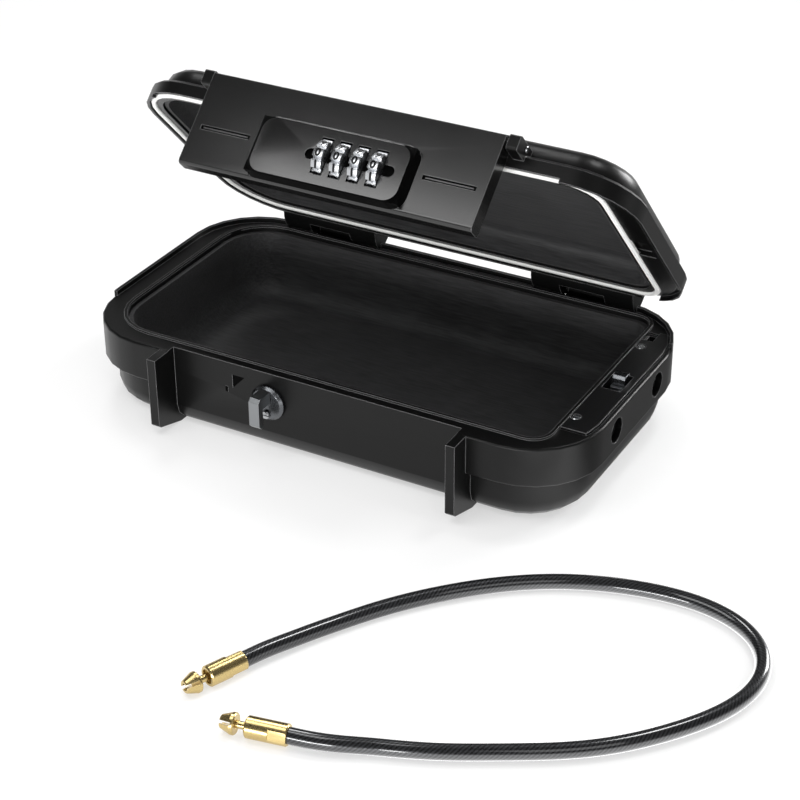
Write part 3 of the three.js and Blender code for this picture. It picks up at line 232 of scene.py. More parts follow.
# Lamps: name, place, target, width and height, in metres, power in watts, and spread of the beam
LAMPS = [
    ("front_strip", (-0.055, -0.239, 0.356), (-0.055, -0.05, 0.13), (0.3, 0.16), 0.53, 180),
    ("front_softbox", (0.75, -0.65, 0.75), (0.05, 0, 0.05), (0.5, 0.5), 1.2, 180),
    ("top_lamp", (0.25, 0.35, 1.0), (0.1, -0.1, 0), (0.2, 0.2), 2.6, 180),
    ("edge_lamp", (-0.5, 0.45, 1.05), (0, 0, 0.05), (0.3, 0.3), 3.0, 180),
    ("rear_softbox", (0.55, 0.95, 0.4), (0.12, 0, 0.12), (0.4, 0.4), 1.0, 60),
    ("low_fill", (0.1, -1.2, 0.12), (0.1, 0.05, 0.12), (0.6, 0.15), 7, 180),
]


def add_object(name, data):
    """A new object in the scene, at the origin."""
    thing = bpy.data.objects.new(name, data)
    bpy.context.scene.collection.objects.link(thing)
    return thing


# Camera

def add_camera():
    data = bpy.data.cameras.new("camera")
    data.lens = LENS
    data.sensor_width = SENSOR_WIDTH
    camera = add_object("camera", data)
    turn = Matrix.Rotation(radians(AZIMUTH), 4, "Z") @ Matrix.Rotation(radians(90 - ELEVATION), 4, "X")
    camera.matrix_world = Matrix.Translation(CAMERA_PLACE) @ turn @ Matrix.Rotation(radians(ROLL), 4, "Z")
    bpy.context.scene.camera = camera


add_camera()


# Materials

def colour(code):
    """An sRGB hex value as linear colour."""
    parts = [int(code[start:start + 2], 16) / 255 for start in (0, 2, 4)]
    return tuple(c / 12.92 if c <= 0.04045 else ((c + 0.055) / 1.055) ** 2.4 for c in parts) + (1,)


def add_node(tree, kind, values=None, links=None, **options):
    """Adds a node: options are its settings, values go on its sockets, links give (node, output)."""
    node = tree.nodes.new(kind)
    for name, value in options.items():
        setattr(node, name, value)
    for socket, value in (values or {}).items():
        node.inputs[socket].default_value = value
    for socket, (source, output) in (links or {}).items():
        tree.links.new(source.outputs[output], node.inputs[socket])
    return node


def limits(start, end=(0, 1)):
    """Socket values that turn the range start into the range end."""
    return {"From Min": start[0], "From Max": start[1], "To Min": end[0], "To Max": end[1]}


def new_material(name):
    material = bpy.data.materials.new(name)
    material.use_nodes = True
    tree = material.node_tree
    tree.nodes.clear()
    return material, tree


def finish_material(tree, values, links):
    shader = add_node(tree, "ShaderNodeBsdfPrincipled", values, links)
    add_node(tree, "ShaderNodeOutputMaterial", links={"Surface": (shader, "BSDF")})


def object_noise(tree, size, stretch=(1, 1, 1), detail=3.0):
    """Noise on object coordinates whose features are about size millimetres across."""
    place = add_node(tree, "ShaderNodeTexCoord")
    scaled = add_node(tree, "ShaderNodeMapping", {"Scale": stretch}, {"Vector": (place, "Object")})
    values = {"Scale": 1 / (size * MM), "Detail": detail, "Roughness": NOISE_ROUGHNESS}
    return add_node(tree, "ShaderNodeTexNoise", values, {"Vector": (scaled, "Vector")})


def grain_on_soft_edges(tree, pattern, depth, edge):
    """A pattern's relief, depth high, on edges that are softened over edge. Gives the relief and the soft edges."""
    soft = add_node(tree, "ShaderNodeBevel", {"Radius": edge * MM}, samples=EDGE_SAMPLES)
    links = {"Height": (pattern, "Fac"), "Normal": (soft, "Normal")}
    return add_node(tree, "ShaderNodeBump", {"Strength": 1.0, "Distance": depth * MM}, links), soft


def moulded_plastic(
    name, code, grain=0.9, depth=0.02, rough=(0.32, 0.36), drift=35, edge=0.5, index=1.62, tint="949494",
    edge_highlight="7c7c7d",
):
    """Plastic from a steel mould: the grain of the tool's wall, a gloss that drifts a little over the piece, and a
    painted highlight that lightens softened edges towards the edge colour, unless that is None. The real grain is
    about 0.1 wide and is drawn coarser, so that it shows. ABS has an IOR of 1.54; index and tint are matched to how
    strong the real highlights are."""
    material, tree = new_material(name)
    fine = object_noise(tree, grain)
    wide = object_noise(tree, drift)
    bump, soft = grain_on_soft_edges(tree, fine, depth, edge)
    roughness = add_node(tree, "ShaderNodeMapRange", limits(NOISE_RANGE, rough), {"Value": (wide, "Fac")})
    values = {"Base Color": colour(code), "IOR": index, "Specular Tint": colour(tint)}
    links = {"Roughness": (roughness, "Result"), "Normal": (bump, "Normal")}
    # Painted highlight: where a softened normal leans off its face, the colour is lightened towards the edge colour,
    # so edges show light lines
    if edge_highlight:
        place = add_node(tree, "ShaderNodeNewGeometry")
        normals = {0: (soft, "Normal"), 1: (place, "Normal")}
        lean = add_node(tree, "ShaderNodeVectorMath", links=normals, operation="DOT_PRODUCT")
        highlight_share = add_node(tree, "ShaderNodeMapRange", limits(EDGE_HIGHLIGHT_RANGE), {"Value": (lean, "Value")})
        tones = {MIX_A: colour(code), MIX_B: colour(edge_highlight)}
        tone = add_node(tree, "ShaderNodeMix", tones, {MIX_FACTOR: (highlight_share, "Result")}, data_type="RGBA")
        links["Base Color"] = (tone, MIX_RESULT)
    finish_material(tree, values, links)
    return material


def worked_metal(name, code, rough=(0.2, 0.32), grain=0.35, depth=0.004, stretch=(1, 1, 1), edge=0.3):
    """Metal with the fine lines or speckle of its making. They are really a few hundredths wide and are drawn
    coarser, so that they show."""
    material, tree = new_material(name)
    fine = object_noise(tree, grain, stretch)
    bump, _ = grain_on_soft_edges(tree, fine, depth, edge)
    roughness = add_node(tree, "ShaderNodeMapRange", limits(NOISE_RANGE, rough), {"Value": (fine, "Fac")})
    finish_material(
        tree,
        {"Base Color": colour(code), "Metallic": 1.0},
        {"Roughness": (roughness, "Result"), "Normal": (bump, "Normal")},
    )
    return material


def liner_foam(line=0.9, stretch=(0.08, 1, 1), patch=22, line_weight=3.0, shades=(1.4, 2.6), depth=0.12):
    """Closed-cell EVA foam with a brushed skin: near black and matt, with fine lines along the case and a faint
    cloudiness. The lines are drawn about three times as wide as the real ones, so that they show."""
    material, tree = new_material("black_eva_foam")
    lines = object_noise(tree, line, stretch, detail=2.0)
    wide = object_noise(tree, patch)
    # The sum of the weighted lines and the patches lies about within shades
    both = add_node(
        tree, "ShaderNodeMath", {1: line_weight}, {0: (lines, "Fac"), 2: (wide, "Fac")}, operation="MULTIPLY_ADD",
    )
    shade = add_node(tree, "ShaderNodeMapRange", limits(shades), {"Value": (both, "Value")})
    tones = {MIX_A: colour("1e1e1f"), MIX_B: colour("323233")}
    tone = add_node(tree, "ShaderNodeMix", tones, {MIX_FACTOR: (shade, "Result")}, data_type="RGBA")
    bump = add_node(tree, "ShaderNodeBump", {"Strength": 1.0, "Distance": depth * MM}, {"Height": (lines, "Fac")})
    finish_material(
        tree,
        {"Roughness": 0.62, "IOR": 1.45, "Sheen Weight": 0.08, "Sheen Roughness": 0.5},
        {"Base Color": (tone, MIX_RESULT), "Normal": (bump, "Normal")},
    )
    return material


def white_silicone(grain=0.8, depth=0.02, rough=(0.42, 0.55)):
    """Extruded silicone rubber: white with a soft satin skin, so it shows as a clean line in the black rim."""
    material, tree = new_material("white_silicone")
    fine = object_noise(tree, grain)
    bump = add_node(tree, "ShaderNodeBump", {"Strength": 1.0, "Distance": depth * MM}, {"Height": (fine, "Fac")})
    roughness = add_node(tree, "ShaderNodeMapRange", limits(NOISE_RANGE, rough), {"Value": (fine, "Fac")})
    finish_material(
        tree,
        {"Base Color": colour("f8f8f6"), "IOR": 1.43},
        {"Roughness": (roughness, "Result"), "Normal": (bump, "Normal")},
    )
    return material


def coated_strands(speckle=1.4, rough=(0.25, 0.4)):
    """Steel rope in a clear PVC coat: dark strands laid at an angle, under a glossy skin that carries one long
    highlight."""
    material, tree = new_material("vinyl_coated_steel_rope")
    place = add_node(tree, "ShaderNodeUVMap", uv_map="UVMap")
    # U runs once along the cable and V once round it
    turns = CABLE_LENGTH / (STRAND_LAY * MM)
    pattern = {"Scale": (turns * STRAND_COUNT, STRAND_COUNT, 1)}
    scaled = add_node(tree, "ShaderNodeMapping", pattern, {"Vector": (place, "UV")})
    parts = add_node(tree, "ShaderNodeSeparateXYZ", links={"Vector": (scaled, "Vector")})
    both = add_node(tree, "ShaderNodeMath", links={0: (parts, "X"), 1: (parts, "Y")}, operation="ADD")
    wave = add_node(tree, "ShaderNodeMath", links={0: (both, "Value")}, operation="FRACT")
    ramp = add_node(tree, "ShaderNodeValToRGB", links={"Fac": (wave, "Value")})
    stops = ramp.color_ramp.elements
    stops.new(1.0)
    for stop, position, code in zip(stops, (0.0, 0.5, 1.0), ("030303", "3c3d40", "030303")):
        stop.position = position
        stop.color = colour(code)
    speck = object_noise(tree, speckle)
    roughness = add_node(tree, "ShaderNodeMapRange", limits(NOISE_RANGE, rough), {"Value": (speck, "Fac")})
    finish_material(
        tree,
        {"Metallic": 0.7, "IOR": 1.5, "Coat Weight": 1.0, "Coat Roughness": 0.09, "Coat IOR": 1.52},
        {"Base Color": (ramp, "Color"), "Roughness": (roughness, "Result")},
    )
    return material


# ABS from a spark-eroded mould: black satin, with broad soft highlights and a painted highlight along its edges
BLACK_ABS = moulded_plastic("black_satin_abs", "090909")
# ABS from a polished mould: smoother than the case, so the flap takes a soft gradient from the strip lamp
FLAP_ABS = moulded_plastic(
    "black_polished_abs", "090909", depth=0.006, rough=(0.21, 0.24), index=1.8, tint="e4e4e4", edge_highlight="6c6c6d",
)
# ABS from a mirror-polished mould: the pad's face goes from near black above to a bright reflection below
PAD_ABS = moulded_plastic(
    "black_glossy_abs", "090909", depth=0.004, rough=(0.14, 0.16), edge=0.4, index=1.8, tint="ffffff",
    edge_highlight="4c4c4d",
)
# ABS from a finer, duller mould: the covers stand out from the tray a little by their softer sheen
COVER_ABS = moulded_plastic("black_fine_abs", "0b0b0c", grain=0.7, depth=0.012, rough=(0.36, 0.42))
# Nylon, moulded: a dull dark grey with a waxy look
DARK_NYLON = moulded_plastic("black_nylon", "161617", grain=0.6, depth=0.01, rough=(0.45, 0.55), edge=0.2)
# EVA foam with a brushed skin: matt and near black, with fine lines along the case
FOAM = liner_foam()
# Silicone rubber, extruded: white with a soft satin skin
SILICONE = white_silicone()
# Painted shade: a darker, dull black ABS with a coarse grain that takes no highlight, so hinge sides and webs,
# groove beds and walls, the pad's side walls and the marks read as shadow
PAINTED_SHADE_ABS = moulded_plastic(
    "black_abs_painted_shade", "020202", grain=0.5, depth=0.03, rough=(0.75, 0.85), edge=0.2, tint="1c1c1c",
    edge_highlight=None,
)
# Chrome plate on die-cast zinc: the dials show dark and white bands, a little blurred
CHROME = worked_metal("chrome_plated_zinc", "c6c8cb", rough=(0.24, 0.3), depth=0.001, edge=0.2)
# Satin chrome plate: a greyer, softer shine on the slide knob
SATIN_CHROME = worked_metal("satin_chrome", "6e7073", rough=(0.22, 0.3), depth=0.002, edge=0.5)
# Steel, ground upright: fine upright lines and a mid grey on the hook, the plate and the bolt
SATIN_STEEL = worked_metal("satin_steel", "8e9092", rough=(0.28, 0.4), stretch=(6, 6, 0.3))
# Steel, turned and oiled: a dark grey disc behind the hook
DARK_STEEL = worked_metal("oiled_steel", "6b6d70", rough=(0.2, 0.3), depth=0.002)
# Steel, zinc-plated: small bright points on screws, bushes and pins
SCREW_STEEL = worked_metal("zinc_plated_steel", "b9bbbd", rough=(0.2, 0.3), edge=0.1)
# Spring steel, rolled: thin clean bright lines
SPRING_STEEL = worked_metal("spring_steel", "8e9194", rough=(0.22, 0.3), edge=0.05)
# Brass, turned: a pale warm gold with bright bands along the ferrule and the head
BRASS = worked_metal("turned_brass", "cdb67e", rough=(0.22, 0.3), depth=0.002, edge=0.15)
# Steel rope in clear PVC: slanting dark strands under a long glossy highlight
STRANDS = coated_strands()
# Enamel paint, filled in: smooth black numerals with a slight shine against the chrome
ENAMEL = moulded_plastic(
    "black_enamel", "08080a", grain=0.4, depth=0.002, rough=(0.25, 0.35), edge=0.02, edge_highlight=None,
)


# Pieces

def new_object(name, bm, material, body, replaced=None, sharp=35):
    """A finished piece from a bmesh, shaded smooth up to the sharp angle, riding on a body."""
    mesh = bpy.data.meshes.new(name)
    bm.to_mesh(mesh)
    bm.free()
    mesh.shade_smooth()
    mesh.set_sharp_from_angle(angle=radians(sharp))
    mesh.materials.append(material)
    piece = add_object(name, mesh)
    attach(piece, body)
    if replaced:
        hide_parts(replaced)
    return piece


def refine(node, name, material, sharp=32):
    """A merged copy of a CAD solid, with its curved walls shaded smooth and its flat faces kept flat."""
    bm = bmesh.new()
    bm.from_mesh(nodes[node].data)
    bmesh.ops.remove_doubles(bm, verts=bm.verts, dist=CAD_MERGE * MM)
    bmesh.ops.dissolve_limit(bm, angle_limit=radians(CAD_FLAT), verts=bm.verts, edges=bm.edges)
    body = body_of(nodes[node])[0]
    piece = new_object(name, bm, material, body, node, sharp)
    weigh = piece.modifiers.new("flat_faces", "WEIGHTED_NORMAL")
    weigh.keep_sharp = True
    weigh.weight = FLAT_WEIGHT
    return piece


def lid_open():
    """The turn that takes what is drawn with the lid closed to its place at rest."""
    turn = Matrix.Rotation(radians(-OPEN_ANGLE), 4, "X")
    return Matrix.Translation(HINGE) @ turn @ Matrix.Translation(-HINGE)


def spun(profile, axis, steps):
    """A solid turned about X or Y: profile holds (radius, place along the axis) in millimetres."""
    bm = bmesh.new()
    row = []
    for radius, along in profile:
        place = (along, radius, 0) if axis == "X" else (radius, along, 0)
        row.append(bm.verts.new(Vector(place) * MM))
    edges = [bm.edges.new(pair) for pair in zip(row, row[1:])]
    turn_axis = (1, 0, 0) if axis == "X" else (0, 1, 0)
    bmesh.ops.spin(
        bm, geom=row + edges, cent=(0, 0, 0), axis=turn_axis, angle=2 * pi, steps=steps, use_merge=True,
    )
    bmesh.ops.remove_doubles(bm, verts=bm.verts, dist=MERGE * MM)
    bmesh.ops.recalc_face_normals(bm, faces=bm.faces)
    return bm


def finished_mesh(thing):
    """The mesh that an object's curve, text or modifiers give."""
    bpy.context.view_layer.update()
    return bpy.data.meshes.new_from_object(thing.evaluated_get(bpy.context.evaluated_depsgraph_get()))


# Cable

def spline_between(before, start, end, after):
    """Points from start up to end on the spline that the CAD uses, a centripetal Catmull-Rom."""
    corners = (before, start, end, after)
    steps = [np.linalg.norm(b - a) ** 0.5 for a, b in zip(corners, corners[1:])]
    k0, k1, k2, k3 = np.cumsum([0] + steps)
    line = []
    for t in np.linspace(k1, k2, SPLINE_STEPS, endpoint=False):
        def between(a, b, ta, tb):
            return a * (tb - t) / (tb - ta) + b * (t - ta) / (tb - ta)
        first = between(before, start, k0, k1)
        middle = between(start, end, k1, k2)
        last = between(end, after, k2, k3)
        line.append(between(between(first, middle, k0, k2), between(middle, last, k1, k3), k1, k2))
    return line


def smooth_route():
    """The cable's middle line in metres, at even steps."""
    last = len(CABLE_ROUTE) - 1
    points = []
    for number, (x, y) in enumerate(CABLE_ROUTE):
        from_end = min(number, last - number)
        rise = END_RISE[from_end] if from_end < len(END_RISE) else 0
        points.append((x, y, CABLE_RADIUS + (HEAD_RADIUS - CABLE_RADIUS) * rise))
    points = np.array(points) * MM
    points = np.vstack([2 * points[0] - points[1], points, 2 * points[-1] - points[-2]])
    line = []
    for number in range(1, len(points) - 2):
        line += spline_between(*points[number - 1:number + 3])
    line = np.array(line + [points[-2]])
    walked = np.concatenate([[0], np.cumsum(np.linalg.norm(np.diff(line, axis=0), axis=1))])
    count = int(walked[-1] / (CABLE_STEP * MM))
    marks = np.linspace(0, walked[-1], count + 1)
    even = np.stack([np.interp(marks, walked, line[:, k]) for k in range(3)], axis=1)
    # The traced points' small waves are taken out of the plan, but its ends stay where they are
    middle = np.clip((np.minimum(marks, walked[-1] - marks) / MM - FIT_START) / FIT_BLEND, 0, 1)
    for k in (0, 1):
        fitted = np.polynomial.Chebyshev.fit(marks, even[:, k], FIT_DEGREE)(marks)
        even[:, k] += middle * (fitted - even[:, k])
    return even


def make_cable():
    """The coated rope as a mesh tube with its own UV map. Gives the piece and its middle line."""
    route = smooth_route()
    curve = bpy.data.curves.new("cable_line", "CURVE")
    curve.dimensions = "3D"
    curve.bevel_depth = CABLE_RADIUS * MM
    curve.bevel_resolution = CABLE_BEVEL
    curve.use_fill_caps = True
    spline = curve.splines.new("POLY")
    spline.points.add(len(route) - 1)
    for point, place in zip(spline.points, route):
        point.co = (*place, 1)
    holder = add_object("cable_line", curve)
    mesh = finished_mesh(holder)
    bpy.data.objects.remove(holder)
    mesh.name = "security_cable"
    mesh.materials.clear()
    mesh.materials.append(STRANDS)
    mesh.shade_smooth()
    mesh.set_sharp_from_angle(angle=radians(CABLE_SHARP))
    cable = add_object("security_cable", mesh)
    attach(cable, "cable_set")
    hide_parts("cable")
    return cable, route


def cut_slot(bm):
    """A screwdriver slot across the head's end, cut with a thin block."""
    solid = bpy.data.meshes.new("end_blank")
    bm.to_mesh(solid)
    bm.free()
    blank = add_object("end_blank", solid)
    block = bmesh.new()
    bmesh.ops.create_cube(block, size=1)
    bmesh.ops.scale(block, verts=block.verts, vec=Vector((SLOT_WIDTH, 2 * SLOT_DEPTH, SLOT_ACROSS)) * MM)
    bmesh.ops.translate(block, verts=block.verts, vec=(0, END_TIP * MM, 0))
    bmesh.ops.rotate(block, verts=block.verts, matrix=Matrix.Rotation(radians(SLOT_TURN), 3, "Y"))
    knife_mesh = bpy.data.meshes.new("slot_block")
    block.to_mesh(knife_mesh)
    block.free()
    knife = add_object("slot_block", knife_mesh)
    cut = blank.modifiers.new("slot", "BOOLEAN")
    cut.operation = "DIFFERENCE"
    cut.solver = "EXACT"
    cut.object = knife
    mesh = finished_mesh(blank)
    result = bmesh.new()
    result.from_mesh(mesh)
    for part in (blank, knife):
        bpy.data.objects.remove(part)
    for spare in (mesh, solid, knife_mesh):
        bpy.data.meshes.remove(spare)
    bmesh.ops.remove_doubles(result, verts=result.verts, dist=MERGE * MM)
    return result


def make_cable_end(name, node, at, away, turn):
    """Turned brass end with two milled flats on its ferrule and a slot in its head, from at along away."""
    bm = spun(END_PROFILE, "Y", END_STEPS)
    side = Vector((sin(radians(turn)), 0, cos(radians(turn))))
    for vert in bm.verts:
        across = vert.co.dot(side) / MM
        if vert.co.y < FLAT_END * MM and abs(across) > FLAT_HALF:
            vert.co += ((FLAT_HALF if across > 0 else -FLAT_HALF) - across) * MM * side
    bm = cut_slot(bm)
    angle = atan2(away.y, away.x) - pi / 2
    bmesh.ops.transform(bm, matrix=Matrix.Translation(at) @ Matrix.Rotation(angle, 4, "Z"), verts=bm.verts)
    return new_object(name, bm, BRASS, body_of(nodes[node])[0], node, sharp=22)


# Dials

def dial_place(x):
    """From a dial drawn at the origin to its place on the shaft at rest."""
    return lid_open() @ Matrix.Translation(Vector((x, DIAL_Y, DIAL_Z)) * MM)


def make_dial(index, x):
    """A chromed dial with a finger notch between its ten digits, and rounded rims."""
    rim, half = DIAL_RADIUS, DIAL_HALF
    corner = [(rim - RIM_ROUND, -half), (rim - RIM_MIDDLE, -half + RIM_MIDDLE), (rim, -half + RIM_ROUND)]
    far_corner = [(radius, -along) for radius, along in reversed(corner)]
    bm = spun([(DIAL_BORE, -half), *corner, *far_corner, (DIAL_BORE, half), (DIAL_BORE, -half)], "X", DIAL_STEPS)
    for vert in bm.verts:
        _, y, z = vert.co / MM
        radius = hypot(y, z)
        if radius > rim - NOTCH_REACH:
            off = abs((degrees(atan2(z, y)) + 360) % DIGIT_TURN - DIGIT_TURN / 2)
            share = max(0, 1 - (off / NOTCH_HALF_ANGLE) ** 2)
            vert.co.y *= (radius - NOTCH_DEPTH * share) / radius
            vert.co.z *= (radius - NOTCH_DEPTH * share) / radius
            vert.co.x *= 1 - NOTCH_SIDE * share / half
    bmesh.ops.transform(bm, matrix=dial_place(x), verts=bm.verts)
    new_object(
        f"chrome_dial_{index + 1}", bm, CHROME, DIAL_BODIES[index], f"dial_{index + 1}", sharp=32,
    )


def digit_shape(digit):
    """A numeral as a thin plate in the XY plane, centred, in metres, cut across so that it can bend."""
    text = bpy.data.curves.new("numeral", "FONT")
    text.body = str(digit)
    text.align_x = "CENTER"
    text.align_y = "CENTER"
    text.extrude = FONT_EXTRUDE
    text.offset = FONT_BOLDER
    text.resolution_u = FONT_STEPS
    holder = add_object("numeral", text)
    mesh = finished_mesh(holder)
    bm = bmesh.new()
    bm.from_mesh(mesh)
    bpy.data.objects.remove(holder)
    bpy.data.meshes.remove(mesh)
    bmesh.ops.remove_doubles(bm, verts=bm.verts, dist=FONT_MERGE)
    low = Vector([min(v.co[k] for v in bm.verts) for k in range(3)])
    high = Vector([max(v.co[k] for v in bm.verts) for k in range(3)])
    scale = DIGIT_HEIGHT * MM / (high.y - low.y)
    thin = DIGIT_THICKNESS * MM / (high.z - low.z)
    bmesh.ops.translate(bm, verts=bm.verts, vec=-(low + high) / 2)
    bmesh.ops.scale(bm, verts=bm.verts, vec=(scale * DIGIT_WIDEN, scale, thin))
    for step in range(1 - DIGIT_BANDS // 2, DIGIT_BANDS // 2):
        place = (0, step * DIGIT_HEIGHT * MM / DIGIT_BANDS, 0)
        geometry = bm.verts[:] + bm.edges[:] + bm.faces[:]
        bmesh.ops.bisect_plane(bm, geom=geometry, plane_co=place, plane_no=(0, 1, 0), dist=CUT_NEAR * MM)
    return bm


def make_digits(index, x, plates):
    """The dial's ten numerals, filled with enamel and bent round its rim: nought faces out at rest."""
    ring = bmesh.new()
    for digit, plate in enumerate(plates):
        copy = plate.copy()
        for vert in copy.verts:
            angle = vert.co.y / (DIAL_RADIUS * MM) - radians(DIGIT_TURN) * digit
            radius = (DIAL_RADIUS + DIGIT_LIFT) * MM + vert.co.z
            vert.co = Vector((vert.co.x, -radius * cos(angle), radius * sin(angle)))
        part = bpy.data.meshes.new("numeral_part")
        copy.to_mesh(part)
        copy.free()
        ring.from_mesh(part)
        bpy.data.meshes.remove(part)
    bmesh.ops.transform(ring, matrix=dial_place(x), verts=ring.verts)
    new_object(f"dial_numerals_{index + 1}", ring, ENAMEL, DIAL_BODIES[index])


# Marks, groove bars and hinge webs

def thicken(bm, by):
    """Gives a sheet's faces a thickness by moving a copy of them."""
    grown = bmesh.ops.extrude_face_region(bm, geom=bm.faces[:])
    moved = [part for part in grown["geom"] if isinstance(part, bmesh.types.BMVert)]
    bmesh.ops.translate(bm, verts=moved, vec=Vector(by) * MM)
    bmesh.ops.recalc_face_normals(bm, faces=bm.faces)


def flat_plate(outline, front, back):
    """A flat plate: the outline's (x, z) points, between two places along Y, in millimetres."""
    bm = bmesh.new()
    bm.faces.new([bm.verts.new(Vector((x, front, z)) * MM) for x, z in outline])
    thicken(bm, (0, back - front, 0))
    return bm


def rectangle(x0, x1, z0, z1):
    """A rectangle's corners as (x, z) points."""
    return [(x0, z0), (x1, z0), (x1, z1), (x0, z1)]


def make_marks():
    """The triangle and the tick beside the striker, filled with painted shade in a dull black."""
    for name, outline in (("triangle_mark", TRIANGLE), ("tick_mark", TICK)):
        new_object(name, flat_plate(outline, WALL_Y + MARK_FRONT, WALL_Y + MARK_BACK), PAINTED_SHADE_ABS, "case")


def make_groove_bars():
    """Each groove has a bed of painted shade, a dark sheet on its floor, and a slim bar that stands along its
    middle.
    """
    floor = FLAP_FRONT + GROOVE_DEPTH
    middle = (GROOVE_BOTTOM + GROOVE_TOP) / 2
    for side, (x0, x1) in zip(("left", "right"), GROOVES):
        bed = flat_plate(rectangle(x0, x1, GROOVE_BOTTOM, GROOVE_TOP), floor - BED_FRONT, floor - BED_BACK)
        outline = rectangle(x0 + BAR_INSET, x1 - BAR_INSET, middle - BAR_HALF, middle + BAR_HALF)
        bar = flat_plate(outline, FLAP_FRONT + BAR_SINK, floor - BAR_FOOT)
        for name, bm, material in (("groove_painted_shade_", bed, PAINTED_SHADE_ABS), ("groove_bar_", bar, FLAP_ABS)):
            bmesh.ops.transform(bm, matrix=lid_open(), verts=bm.verts)
            new_object(name + side, bm, material, "flap")


def make_hinge_webs():
    """A thin web of painted shade on each side of each knuckle, spun about the hinge."""
    start, end = (radians(angle) for angle in WEB_ANGLES)
    for number, middle in enumerate(KNUCKLES):
        for side in (-1, 1):
            bm = bmesh.new()
            x = (middle + side * (KNUCKLE_HALF - WEB_OVERLAP)) * MM
            row = [bm.verts.new(Vector((x, HINGE.y, HINGE.z)) + Vector((0, cos(start), sin(start))) * reach * MM)
                   for reach in WEB_RADII]
            edge = bm.edges.new(row)
            bmesh.ops.spin(bm, geom=row + [edge], cent=HINGE, axis=(1, 0, 0), angle=end - start, steps=WEB_STEPS)
            thicken(bm, (side * WEB_THICKNESS, 0, 0))
            new_object(f"hinge_web_{2 * number + (side + 1) // 2 + 1}", bm, PAINTED_SHADE_ABS, "case")


def finish_hinge(piece, turn):
    """The end faces of the hinge's knuckles and ears get painted shade, the dull black that shows them dark. The
    turn takes the piece to its place with the lid closed."""
    piece.data.materials.append(PAINTED_SHADE_ABS)
    for face in piece.data.polygons:
        if (turn @ face.center).y > HINGE_START * MM and abs(face.normal.x) > SIDEWAYS:
            face.material_index = 1


def in_groove(place):
    """Whether a place lies within one of the flap's grooves, seen from the front."""
    level = GROOVE_BOTTOM - NEAR_GROOVE < place.z < GROOVE_TOP + NEAR_GROOVE
    return level and any(x0 - NEAR_GROOVE < place.x < x1 + NEAR_GROOVE for x0, x1 in GROOVES)


def finish_pad(flap):
    """The grooves and the pad's side and lower walls get painted shade, the dull black that shows them dark; the
    pad's face is polished.
    """
    flap.data.materials.append(PAINTED_SHADE_ABS)
    flap.data.materials.append(PAD_ABS)
    closed = lid_open().inverted()
    for face in flap.data.polygons:
        centre = closed @ face.center / MM
        normal = closed.to_3x3() @ face.normal
        if PAD_FRONT + ON_PLANE < centre.y < FLAP_FRONT - ON_PLANE and normal.z < UPWARDS:
            face.material_index = 1
        elif centre.y < PAD_FRONT + ON_PLANE:
            face.material_index = 2
        elif FLAP_FRONT + ON_PLANE < centre.y < FLAP_FRONT + GROOVE_DEPTH + ON_PLANE and in_groove(centre):
            face.material_index = 1


cable, cable_line = make_cable()
for end_name, end_node, at, inner, turn in (
    ("brass_end_a", "cable_end_a", cable_line[0], cable_line[1], FLAT_TURN_A),
    ("brass_end_b", "cable_end_b", cable_line[-1], cable_line[-2], FLAT_TURN_B),
):
    make_cable_end(end_name, end_node, Vector(at), Vector(at) - Vector(inner), turn)

for number, dial_x in enumerate(DIAL_XS):
    make_dial(number, dial_x)
digit_plates = [digit_shape(digit) for digit in range(10)]
for number, dial_x in enumerate(DIAL_XS):
    make_digits(number, dial_x, digit_plates)
for plate in digit_plates:
    plate.free()

make_marks()
make_groove_bars()
make_hinge_webs()
finish_hinge(refine("base_shell", "tray_moulding", BLACK_ABS), Matrix.Identity(4))
finish_hinge(refine("lid_shell", "lid_moulding", BLACK_ABS), lid_open().inverted())
finish_pad(refine("flap_shell", "flap_moulding", FLAP_ABS, sharp=24))
refine("cable_lock_cover", "lock_cover_plate", COVER_ABS)
refine("lock_back_cover", "back_cover_plate", COVER_ABS)
refine("code_lever", "code_setting_lever", DARK_NYLON)
refine("base_liner", "tray_foam_liner", FOAM, sharp=50)
refine("lid_liner", "lid_foam_liner", FOAM, sharp=50)
refine("lid_gasket", "silicone_seal", SILICONE, sharp=40)
refine("striker_rosette", "steel_rosette", DARK_STEEL, sharp=30)
refine("striker_hook", "steel_hook", SATIN_STEEL, sharp=30)
refine("cable_lock_knob", "chrome_slide_knob", SATIN_CHROME, sharp=30)
for turned in (
    "striker_screw", "cover_screw_front", "cover_screw_rear", "lug_screw_left", "lug_screw_right",
    "lock_screw_1", "lock_screw_2", "lock_screw_3", "lock_screw_4", "socket_bush_front", "socket_bush_rear",
):
    refine(turned, turned + "_turned", SCREW_STEEL, sharp=40)
# Metal held inside keeps its CAD shape
for held, metal in (
    ("hinge_pin_left", SCREW_STEEL), ("hinge_pin_right", SCREW_STEEL), ("flap_hinge_pin", SCREW_STEEL),
    ("cable_lock_plate", SATIN_STEEL), ("latch_bolt", SATIN_STEEL), ("cable_lock_detent", SPRING_STEEL),
    ("latch_spring", SPRING_STEEL), ("dial_detent", SPRING_STEEL),
):
    nodes[held].data.materials.clear()
    nodes[held].data.materials.append(metal)


# Floor, world and lamps

def seen_directly(tree):
    """One for what the camera, shiny and clear surfaces see, nought for the light on matt surfaces."""
    path = add_node(tree, "ShaderNodeLightPath")
    seen = add_node(
        tree, "ShaderNodeMath", links={0: (path, "Is Camera Ray"), 1: (path, "Is Glossy Ray")}, operation="MAXIMUM",
    )
    return add_node(
        tree, "ShaderNodeMath", links={0: (seen, "Value"), 1: (path, "Is Transmission Ray")}, operation="MAXIMUM",
    )


